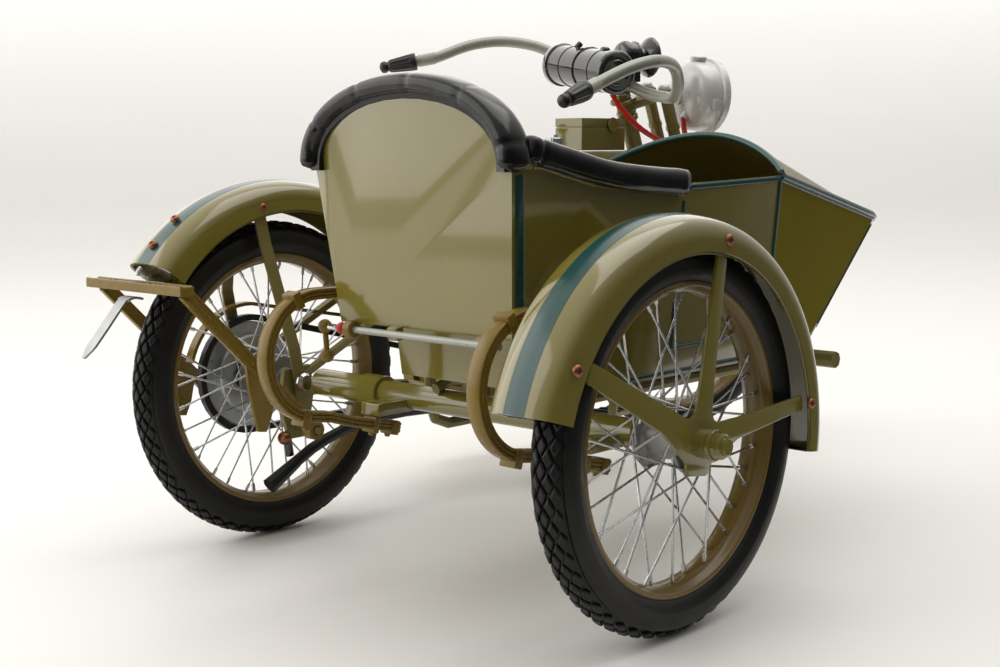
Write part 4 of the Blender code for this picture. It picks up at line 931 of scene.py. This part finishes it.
def seat():
    """The seat pad and the back pad inside the body, each with its piping."""
    for name, centre, size, turn, seed, fill in (
        ("seat_pad", (BODY_X, -3, 99), (33.2, 22.6, 5.9), 0, 2, 0.7),
        ("back_pad", (BODY_X, -30.6, 116.6), (33.2, 22, 3.3), 90 + 5.9, 4, 0.6),
    ):
        cushion, welt = pad(name, centre, size, turn, seed)
        finish(cushion, "frame", "black_leather", "seat_cushion")
        finish(welt, "frame", "black_leather")


def saddle():
    """A stretched hide pan on its springs, curled down round the edge, with rivets at the back."""
    outline = smooth_line([(0.6, 113, 0), (4, 111.5, 0), (5.6, 106, 0), (9, 96, 0), (17.6, 84, 0),
                           (20.7, 74, 0), (17.5, 64.5, 0), (9, 60.8, 0), (0.6, 59.7, 0)], 8)
    shape = bmesh.new()
    levels = 14
    top, under = [], []
    for p in outline:
        row_top, row_under = [], []
        for k in range(-levels, levels + 1):
            t = k / levels
            x = t * p.x
            y = p.y
            dish = 1.1 * (1 - abs(t)) * sin(max(0, min(1, (y - 62) / 40)) * pi)
            rise = 1.3 * max(0, (74 - y) / 14) ** 1.5
            curl = 3.6 * abs(t) ** 5 * min(1, p.x / 6)
            z = 135.4 - dish + rise * 0.9 - curl
            row_top.append(at(x, y, z))
            row_under.append(at(x * 0.975, y, z - 1.5))
        top.append(row_top)
        under.append(row_under)
    sheet(shape, top, under)
    pan = piece_from("hide_saddle", shape, HIDE, 60)
    finish(pan, "frame", "black_leather", "saddle")
    rivets = bmesh.new()
    for x in (-13, -7, 0, 7, 13):
        dome(rivets, (x, 64 + 0.012 * x * x, 136), (0, -0.12, 1), 1.1, 0.7, False, 12)
    put("saddle_rivets", rivets, COPPER, "frame", "bright_steel")


# ---------------------------------------------------------------- springs, axle, stand and stays


def block(shape, centre, size, turn=0, edge=0.4):
    """A box with rounded edges, turned about X."""
    made = bmesh.new()
    bmesh.ops.create_cube(made, size=1)
    turned = Matrix.Translation(at(*centre)) @ Matrix.Rotation(radians(turn), 4, "X")
    bmesh.ops.transform(made, matrix=Matrix.Diagonal((*(Vector(size) * MM), 1)), verts=made.verts)
    round_off(made, made.edges[:], edge)
    bmesh.ops.transform(made, matrix=turned, verts=made.verts)
    mesh = bpy.data.meshes.new("block")
    made.to_mesh(mesh)
    made.free()
    shape.from_mesh(mesh)
    bpy.data.meshes.remove(mesh)


C_RADIUS = 20.2
SPRING_X = (70, 163)  # of the two C-springs, and of the lugs under them


def leaf_section():
    """Across three leaves, with grooves between them."""
    return mirrored([(-1.8, 2.2), (-1.55, 2.5), (-0.8, 2.5), (-0.6, 2.05), (-0.4, 2.5), (0.4, 2.5),
                     (0.6, 2.05), (0.8, 2.5), (1.55, 2.5), (1.8, 2.2)])


def c_springs():
    """Each pack of three leaves with its rolled eye, its clips and their bolts."""
    path = [(-11, 96.2), (-18, 97.4), (-27, 98.15)]
    turns = [radians(90 + 166 * k / 40) for k in range(41)]
    path += [(-36 + C_RADIUS * cos(a), 78 + C_RADIUS * sin(a)) for a in turns]
    path += [(-31, 56.9), (-22, 54.1), (-0.5, 49)]
    section = leaf_section()
    for name, x in zip(("c_spring_left", "c_spring_right"), SPRING_X):
        shape = bmesh.new()
        swept(shape, [Vector((x, y, z)) for y, z in path], lambda i: section, X_WAY)
        for y, z, size, turn in ((-44.4, 96.6, (6.2, 3.2, 5.6), 24), (-42, 57.9, (6.2, 3.2, 5.6), -17),
                                 (-11.9, 51.5, (6.2, 2.6, 5.4), -13), (-3.2, 49.4, (6, 3.4, 5), -13)):
            block(shape, (x, y, z), size, turn)
        for y, z in ((-12, 47.9), (-4.6, 46.4)):
            dome(shape, (x, y, z + 0.6), (0, -0.2, -1), 1.1, 0.9, False, 12)
        put(name + "_leaves", shape, TAN, "frame", "tan_moulding", name, smooth=40)
        eye = spun(name + "_eye", chamfered(1.5, 2.6, -2.9, 2.9, 0.3), (x, -11, 96), TAN, 28)
        finish(eye, "frame", "tan_moulding")


def cross_rod():
    """The bar with its eye, bush and end, the shackle it hangs from, and its hooks."""
    y, z = -37.2, 88.2
    ball_r = 2.3
    rod = [(0.02, 88), (1.1, 88), (1.1, 154), (0.02, 154)]
    finish(spun("cross_rod_bar", rod, (0, y, z), SATIN, 20), "frame", "bright_steel", "cross_rod")
    shape = bmesh.new()
    tube(shape, [(76.8, y, z), (77.2, y, z - 4.8), (77.6, y, z - 9.5)], 0.95, 10, Y_WAY)
    for x0, z0 in ((76.8, z), (77.6, z - 9.5)):
        rings = []
        for i in range(1, 10):
            a = pi * i / 10
            rings.append([at(x0 + p, y + q, z0 + ball_r * cos(a)) for p, q in circle(ball_r * sin(a), 16)])
        skin(shape, rings)
    put("shackle_link", shape, TAN, "frame", "tan_moulding", smooth=50)
    for name, low, high, radius, look in (("rod_eye", 87.9, 91.5, 2.9, TAN),
                                          ("rod_bush", 84.2, 86.4, 1.9, HOSE),
                                          ("rod_end", 78.6, 83.4, 1.05, STEEL)):
        finish(spun(name, chamfered(0.05, radius, low, high), (0, y, z), look, 24), "frame", "tan_moulding")
    hooks = bmesh.new()
    for x in (108, 146):
        block(hooks, (x, -35.2, 88.2), (4.6, 3.4, 4.4), 10, 0.9)
    put("rod_hooks", hooks, OLIVE, "frame", "olive_enamel")


STAY_X = 193.4
STAY_THICK = 1.2


def axle_and_stay():
    """The sidecar's axle with its lugs, and the three-armed stay with its boss and nut."""
    _, y, z = SIDE_WHEEL
    profile = [(0.02, 23.5), (4.6, 23.5), (5, 23.9), (5, 48.8), (5.6, 49), (5.9, 49.3), (5.9, 58.7),
               (5.6, 59), (4.4, 59.2), (4.3, 171.6), (3.9, 172), (2, 172), (2, 193), (0.02, 193)]
    finish(spun("axle_tube_turned", profile, (0, y, z), OLIVE, 40), "frame", "olive_enamel", "axle_tube")
    lugs = bmesh.new()
    for lug_x in SPRING_X:
        block(lugs, (lug_x, -3, 56.8), (9, 19, 4.4), 0, 0.6)
    put("axle_lugs", lugs, OLIVE, "frame", "olive_enamel")
    arms = [((60.5, 64), 2.4), ((15, 114), 2.3), ((-46, 86), 2.9), ((3.6, 49.6), 4.6)]
    hub = Vector((y, z))
    outline = []
    ways = []
    for tip, half in arms:
        along = (Vector(tip) - hub).normalized()
        ways.append((atan2(along.y, along.x), Vector(tip), along, half))
    ways.sort(key=lambda way: way[0])
    for k, (angle, tip, along, half) in enumerate(ways):
        next_angle, next_tip, next_along, next_half = ways[(k + 1) % len(ways)]
        across = Vector((-along.y, along.x))
        outline += [tip - across * half - along * 0.6, tip - across * (half - 0.6),
                    tip + across * (half - 0.6), tip + across * half - along * 0.6]
        gap = (next_angle - angle) % (2 * pi)
        bisect = Vector((cos(angle + gap / 2), sin(angle + gap / 2)))
        next_across = Vector((-next_along.y, next_along.x))
        start = hub + along * min(19, (tip - hub).length - 2) + across * (half + 0.9)
        end = hub + next_along * min(19, (next_tip - hub).length - 2) - next_across * (next_half + 0.9)
        throat = hub + bisect * (9 if gap > 1.2 else 8)
        lift = [Vector((*p, 0)) for p in (start, throat, end)]
        outline += [Vector((p.x, p.y)) for p in smooth_line(lift, 7)]
    shape = bmesh.new()
    face = shape.faces.new([shape.verts.new(at(STAY_X, p.x, p.y)) for p in outline])
    made = bmesh.ops.extrude_face_region(shape, geom=[face])
    moved = [v for v in made["geom"] if isinstance(v, bmesh.types.BMVert)]
    bmesh.ops.translate(shape, verts=moved, vec=(STAY_THICK * MM, 0, 0))
    rims = [e for e in shape.edges if len(e.link_faces) == 2 and e.calc_face_angle(0) > 1]
    round_off(shape, rims, 0.22)
    put("stay_plate", shape, OLIVE, "frame", "olive_enamel", "sidecar_stay", smooth=40)
    boss = [(0.02, 193.7), (4.4, 193.7), (4.4, 198), (4.1, 198.2), (4.1, 198.5), (4.6, 198.8), (4.6, 199.6),
            (4.3, 199.9), (0.02, 199.9)]
    finish(spun("stay_boss", boss, (0, y, z), OLIVE, 36), "frame", "olive_enamel")
    nut = [(0.02, 199.6), (3.9, 199.6), (3.95, 199.9), (3.95, 202.3), (3.2, 202.9), (2.7, 203), (2.6, 204),
           (2.3, 204.2), (0.02, 204.2)]
    finish(spun("stay_nut", nut, (0, y, z), OLIVE, 12, smooth=20), "frame", "olive_enamel")


def stand():
    """The stand with its raised edges and rivets, and the spring clip that hangs on it."""
    soft_shell("stand_frame", "rear_stand", 0.6, TAN)
    shape = bmesh.new()
    for y in (-57.9, -53.1):
        tube(shape, [(-30.8, y, 99.05), (0, y, 99.05), (27.4, y, 99.05)], 0.42, 8)
    for side in (1, -1):
        x = side * 25.85
        for off in (-1.35, 1.35):
            tube(shape, [(x, -4 + off, 46.5 + off), (x, -53.6 + off, 96.1 + off)], 0.32, 8, X_WAY)
        for t in (0.18, 0.5, 0.82):
            dome(shape, (x, -55.5 * t, 42 + 55.5 * t), (side, 0, 0), 0.8, 0.5, False, 10)
    for x in (-19.5, -16.2, 5.2, 8.5):
        dome(shape, (x, -55.5, 99), (0, 0, 1), 0.7, 0.6, False, 10)
    put("stand_ribs", shape, TAN, "stand", "tan_moulding", smooth=50)
    clip = bmesh.new()
    hook = [(0, -56.8, 93.7), (0, -59.4, 94.3), (0, -62.3, 93.8), (0, -64.6, 91.6), (0, -71.8, 83.2),
            (0, -79, 75)]
    route = smooth_line(hook, 6)
    widths = [3.3] * 14 + [2.6] * (len(route) - 17) + [2.3, 1.6, 0.8]
    swept(clip, route, lambda i: [(-0.4, -widths[i]), (0.4, -widths[i]), (0.4, widths[i]), (-0.4, widths[i])],
          X_WAY)
    put("stand_clip_spring", clip, CLIP, "stand_clip", "satin_steel", "stand_tang", smooth=50)


# ---------------------------------------------------------------- steering


def along_axis(piece, start, end):
    """Turns a piece spun about Z at the datum, to run from start towards end."""
    turn = (Vector(end) - Vector(start)).to_track_quat("Z", "Y").to_matrix().to_4x4()
    piece.data.transform(Matrix.Translation(at(*start)) @ turn @ Matrix.Translation(-at(0, 0, 0)))


def grip(name, node, side):
    """A tapered rubber grip with lengthwise ribs, a collar and a ball end."""
    profile = smooth_line([(2.8, 0, 0), (4.1, 0.1, 0), (4.3, 1.2, 0), (4.2, 3, 0), (3.7, 8, 0),
                           (3.1, 13.2, 0), (2.25, 14.2, 0), (2.9, 15.6, 0), (2.6, 17.5, 0),
                           (1.2, 18.4, 0), (0.05, 18.6, 0)], 4)
    shape = bmesh.new()
    rows = []
    for p in profile:
        ribbed = 0.2 if 2.4 < p.y < 13 else 0
        row = []
        for k in range(60):
            a = 2 * pi * k / 60
            r = p.x + ribbed * (max(-0.6, cos(10 * a)) - 0.4)
            row.append(at(r * cos(a), r * sin(a), p.y))
        rows.append(row)
    skin(shape, rows)
    piece = piece_from(name, shape, GRIP, 40)
    along_axis(piece, (side * 80, 142.7, 176.8), (side * 86.7, 129.9, 173.1))
    finish(piece, "steering", "grip_rubber", node)


def bars():
    """The bent handlebar, its sleeves and its grips."""
    run = [(0, 217, 174.6), (16, 217.5, 172.2), (32, 216, 171.8), (43, 213.5, 173.2), (48.5, 211, 179),
           (53, 206, 185), (60, 197, 188.6), (68.5, 183.3, 189.3), (73, 168, 186.2), (75.7, 150.9, 179.2),
           (80.4, 142, 176.6)]
    right = smooth_line(run, 8)
    whole = [Vector((-p.x, p.y, p.z)) for p in right[:0:-1]] + right
    shape = bmesh.new()
    swept(shape, whole, lambda i: circle(2.7, 20), Vector((0, 0.3, 1)))
    put("bent_bars", shape, SATIN, "steering", "satin_steel", "handlebar", smooth=60)
    sleeves = bmesh.new()
    for side in (1, -1):
        tube(sleeves, [(side * 75.7, 150.9, 179.2), (side * 77.6, 147.3, 178.1), (side * 79.4, 143.8, 177.1)],
             3, 20)
    put("bar_sleeves", sleeves, SATIN, "steering", "satin_steel", smooth=60)
    grip("ribbed_grip_left", "grip_left", -1)
    grip("ribbed_grip_right", "grip_right", 1)


def canister():
    """The banded gas canister across the bars, with its bracket, spout and filler."""
    profile = [(0.02, 23.4), (5.5, 23.4), (6, 23), (8.2, 23), (8.8, 23.3), (9.6, 22.9), (10, 22.2),
               (10, 20.8), (9.6, 20.4)]
    for radius, high, low, edge in ((9.9, 12, 10.3, 0.3), (10.2, -0.3, -3, 0.4), (9.9, -13.6, -15.3, 0.3)):
        profile += [(9.55, high), (radius, high - edge), (radius, low + edge), (9.55, low)]
    profile += [(9.55, -24.2), (10.3, -24.8), (10.3, -27.4), (9.7, -28.3), (8.4, -28.6), (7.9, -28),
                (3, -27.8), (2.6, -28.6), (0.02, -28.6)]
    body = spun("canister", profile, (0, 195, 181.4), BLACK, 64)
    finish(body, "steering", "black_enamel", "gas_tank")
    shape = bmesh.new()
    block(shape, (-2, 207.6, 176.8), (4.4, 10.5, 3.4), -15, 0.5)
    tube(shape, [(-6, 190, 190.5), (-6, 192, 192.6)], 1.5, 12, X_WAY)
    dome(shape, (11, 195, 190.9), (0, 0, 1), 2.4, 1.6, False, 18)
    put("canister_fittings", shape, BLACK, "steering", "black_enamel", smooth=40)


def horn():
    """The horn's bell on its foot."""
    profile = [(0.02, -8.5), (4.4, -8.5), (5.6, -8.1), (6.9, -6.6), (7.2, -5.6), (7.2, -4.6), (6.9, -4.3),
               (6.9, -1), (7.2, -0.7), (7.2, 0.5), (6, 1.6), (4.2, 2.4), (4, 3.2), (4.2, 4.2), (6, 5.4),
               (8.4, 7.2), (9.4, 8.3), (9.55, 9.1), (9.3, 9.6), (8.8, 9.2), (7, 7.4), (4, 5.6), (0.02, 4.8)]
    bell = spun("horn_bell", profile, (2, 217, 188.3), BLACK, 48, "Y")
    finish(bell, "steering", "black_enamel", "horn")
    shape = bmesh.new()
    block(shape, (2, 219, 180.4), (4.2, 3.6, 8), 6, 0.6)
    dome(shape, (2, 208.6, 188.3), (0, -1, 0), 1.9, 1.4, True, 14)
    put("horn_foot", shape, BLACK, "steering", "black_enamel", smooth=40)


LAMP_AXIS = (0, 0, 171)


def headlamp():
    """The lamp's shell, reflector, lens, vent, burner and brackets."""
    profile = [(0.02, 247.4), (3, 247.5), (7.5, 248), (11, 248.8), (13.8, 250), (15.8, 251.5), (16.7, 253.2),
               (17, 255.2), (17.1, 258), (17.1, 261.2), (17.6, 261.6), (18.3, 261.9), (18.4, 262.4),
               (18.4, 264.6), (18, 265.1), (17.2, 265.2), (16.4, 264.9), (16.2, 263.6), (16, 261),
               (14, 256.8), (10, 253.2), (5, 251.2), (0.02, 250.6)]
    finish(spun("lamp_shell", profile, LAMP_AXIS, SILVER, 72, "Y"), "steering", "silver_paint", "headlamp")
    mirror = [(15.9, 261.6), (14, 257.4), (10, 253.8), (5, 251.7), (0.02, 251.1), (0.02, 250.9), (5, 251.5),
              (10, 253.6), (14.1, 257.2), (16, 261.5)]
    finish(spun("lamp_reflector", mirror, LAMP_AXIS, STEEL, 64, "Y"), "steering", "bright_steel")
    lens = [(0.02, 268.1), (4, 267.9), (8.5, 267.3), (12.5, 266), (15.7, 264.5), (15.7, 263.4), (12, 264.8),
            (8, 266), (4, 266.6), (0.02, 266.8)]
    finish(spun("lamp_lens", lens, LAMP_AXIS, GLASS, 64, "Y"), "steering", "lamp_glass", "headlamp_lens")
    vent = [(0.02, 186.6), (3.4, 186.6), (3.4, 188.2), (4.1, 188.4), (4.1, 189.6), (3.7, 190.1), (2.4, 190.3),
            (0.02, 190.4)]
    finish(spun("lamp_vent", vent, (0, 256.5, 0), SILVER, 36, "Z"), "steering", "silver_paint")
    shape = bmesh.new()
    tube(shape, [(0, 245.8, 168.5), (0, 251.5, 168.5)], 2.2, 16)
    block(shape, (-2.6, 248.6, 176.6), (3, 3.2, 6), 0, 0.6)
    tube(shape, [(4.2, 247.6, 160.2), (4.2, 249.4, 162.4), (4.2, 251.6, 165)], 1.75, 14, X_WAY)
    block(shape, (17.6, 257, 168), (2.4, 4.2, 5.4), 0, 0.6)
    tube(shape, [(18.2, 257.3, 166), (17.2, 256.2, 151)], 0.7, 10, Y_WAY)
    dome(shape, (0, 247.9, 171), (0, -1, 0), 2.6, 1.2, True, 16)
    burner = [(0.02, 250.8), (1.6, 250.8), (1.6, 256), (0.9, 257), (0.9, 259.5), (0.02, 260)]
    put("lamp_brackets", shape, SILVER, "steering", "silver_paint", smooth=45)
    finish(spun("lamp_burner", burner, LAMP_AXIS, COPPER, 16, "Y"), "steering", "bright_steel")


def head_stack():
    """Cups, the wide lock ring and the cap nut round the steering head."""
    axis = Vector((0, -sin(RAKE), cos(RAKE)))
    for name, low, high, radius, body, steps in (
        ("head_cup_low", -11.4, -8.6, 5.1, "frame", 36),
        ("head_cup_high", 8.6, 11.4, 5.1, "frame", 36),
        ("head_cone", 12, 14, 4.9, "steering", 36),
        ("head_lock_ring", 18, 19.6, 6.6, "steering", 36),
        ("head_cap_nut", 19.6, 22.2, 4, "steering", 6),
    ):
        piece = spun(name, chamfered(2.3, radius, low, high), (0, 0, 0), OLIVE, steps, "Z", smooth=30)
        along_axis(piece, HEAD, Vector(HEAD) + axis)
        finish(piece, body, "olive_enamel")
    shape = bmesh.new()
    block(shape, (0, 214.6, 175.6), (9, 7, 4.6), 22, 0.7)
    for x in (-3, 3):
        dome(shape, (x, 213.6, 177.6), (0, -0.37, 0.93), 1.1, 0.9, True, 12)
    put("bar_clamp", shape, SATIN, "steering", "satin_steel", smooth=40)
    collars = bmesh.new()
    knobs = bmesh.new()
    for side in (1, -1):
        foot = Vector((side * 7.5, 250, 131))
        for t in (6, 26, 44):
            tube(collars, [foot + axis * t, foot + axis * (t + 2)], 3.5, 16, X_WAY)
        dome(knobs, foot + axis * 46.6, axis, 3, 2.2, False, 18)
    put("spring_collars", collars, OLIVE, "steering", "olive_enamel", smooth=50)
    put("spring_caps", knobs, SILVER, "steering", "bright_steel", smooth=50)


HOSE_ACROSS = 2.6  # millimetres
HOSE_ROUTE = [(14, 199, 171.3), (15.5, 203, 165.5), (18.5, 212, 157), (18.8, 223, 151.5), (18.4, 233, 148.6),
              (16.8, 240.5, 147.2), (13.2, 245.8, 147.6), (8.8, 248, 150.2), (5.6, 248.1, 154.8),
              (4.3, 247.8, 160.6)]


def hose():
    """The red acetylene hose from the canister, round behind the fork, up into the lamp."""
    route = [STEERED @ at(*p) for p in smooth_line(HOSE_ROUTE, 4)]
    data = bpy.data.curves.new("gas_hose_run", "CURVE")
    data.dimensions = "3D"
    data.bevel_depth = HOSE_ACROSS / 2 * MM
    data.bevel_resolution = 5
    data.use_fill_caps = True
    spline = data.splines.new("POLY")
    spline.points.add(len(route) - 1)
    for knot, point in zip(spline.points, route):
        knot.co = (*point, 1)
    data.materials.append(HOSE)
    piece = bpy.data.objects.new("gas_hose_run", data)
    bpy.context.scene.collection.objects.link(piece)
    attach(piece, "steering")
    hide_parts("gas_hose")
    length = sum((b - a).length for a, b in zip(route, route[1:]))
    tuple(route[0])


# ---------------------------------------------------------------- engine, tank and small fittings


FIN_PITCH = 3.7


def cylinders():
    """Two finned barrels that lean apart from the same foot."""
    foot = (0, 130, 50.6)
    for node, lean in (("front_cylinder", 22.5), ("rear_cylinder", -22.5)):
        profile = [(0.02, 18.6), (6.4, 18.6)]
        for i, radius in enumerate((8, 9.6, 9.6, 9.6, 9.6, 9.6, 8.6, 8.6)):
            height = 21 + FIN_PITCH * i
            profile += [(6.4, height), (radius - 0.2, height + 0.1), (radius, height + 0.35),
                        (radius, height + 0.9), (radius - 0.2, height + 1.2), (6.4, height + 1.3)]
        profile += [(5.4, 51.9), (4.6, 52.6), (0.02, 52.6)]
        barrel = spun(node + "_fins", profile, foot, ALLOY, 44, "Z", smooth=40)
        pivot = Matrix.Translation(at(*foot))
        barrel.data.transform(pivot @ Matrix.Rotation(radians(-lean), 4, "X") @ pivot.inverted())
        finish(barrel, "frame", "cast_alloy", node)


def filler_cap(node, x, y, low, high, radius, knob):
    """A cap with a knurled edge; knob is how far the middle stands up, at its rim and its centre."""
    levels = [(radius - 0.9, low), (radius - 0.9, low + 1.6), (radius - 0.2, low + 1.8), (radius, low + 2.1),
              (radius, high - 0.5), (radius - 0.4, high), (radius - 1.4, high + 0.1), (1.6, high + 0.15),
              (1.4, high + knob[0]), (0.05, high + knob[1])]
    shape = bmesh.new()
    rows = []
    for r, h in levels:
        knurl = 0.16 if r > radius - 0.3 else 0
        row = []
        for k in range(48):
            a, reach = 2 * pi * k / 48, r - knurl * (k % 2)
            row.append(at(x + reach * cos(a), y + reach * sin(a), h))
        rows.append(row)
    skin(shape, rows)
    put(node + "_knurled", shape, DRUM, "frame", "silver_paint", node, smooth=30)


def tank_and_box():
    """The tank and the toolbox with their lids, and the lines on the tank's sides."""
    soft_shell("tank_shell", "fuel_tank", 0.5, angle=25)
    soft_shell("box_shell", "toolbox", 0.3)
    lip = bmesh.new()
    for x in (-7.1, 7.1):
        block(lip, (x, 190.25, 152.4), (0.9, 30.2, 4.1), 0, 0.1)
    for y in (175.4, 205.1):
        block(lip, (0, y, 152.4), (15, 0.9, 4.1), 0, 0.1)
    put("box_lip", lip, OLIVE, "frame", "olive_enamel")
    soft_shell("box_lid", "toolbox_lid", 0.35)
    filler_cap("fuel_cap", 7.5, 156, 143.8, 149.6, 4, (1.2, 1.3))
    filler_cap("oil_cap", 8, 142, 143.8, 148.4, 3.5, (0, 0.05))
    lining = bmesh.new()
    for side in (1, -1):
        x = side * 17.05
        ring = [(x, 131, 124.5), (x, 131, 138), (x, 202, 138), (x, 202, 124.5), (x, 131, 124.5)]
        places = []
        for a, b in zip(ring, ring[1:]):
            for k in range(9):
                t = k / 8
                places.append((Vector(a) * (1 - t) + Vector(b) * t, Vector((side, 0, 0))))
        bead(lining, places, 1.1, 0.12)
    put("tank_lining", lining, TEAL, "frame", "olive_enamel", smooth=40)


def smaller_shells():
    """The shells that keep the nodes' own shapes, and the ribs on the footboards."""
    for name, node, width, look in (
        ("guard_shell", "chain_guard", 0.35, TAN),
        ("body_shell", "sidecar_tub", 0.4, BODY_OLIVE),
        ("case_shell", "engine_case", 0.4, None),
        ("gearbox_shell", "gearbox", 0.4, None),
        ("board_left", "footboard_left", 0.3, None),
        ("board_right", "footboard_right", 0.3, None),
    ):
        soft_shell(name, node, width, look)
    ribs = bmesh.new()
    for low, high in ((25.5, 39.5), (-39.5, -25.5)):
        for k in range(9):
            block(ribs, ((low + high) / 2, 127.5 + 5.4 * k, 28.2), (11, 2.2, 0.9), 0, 0.25)
    put("footboard_ribs", ribs, RUBBER, "frame", "black_enamel", smooth=40)


# ---------------------------------------------------------------- assembly


def main():
    camera()
    surroundings()
    paint_nodes()
    hose()
    wheels()
    fenders()
    body_lining()
    trim()
    seat()
    saddle()
    c_springs()
    cross_rod()
    axle_and_stay()
    stand()
    bars()
    canister()
    horn()
    headlamp()
    head_stack()
    cylinders()
    tank_and_box()
    smaller_shells()


main()
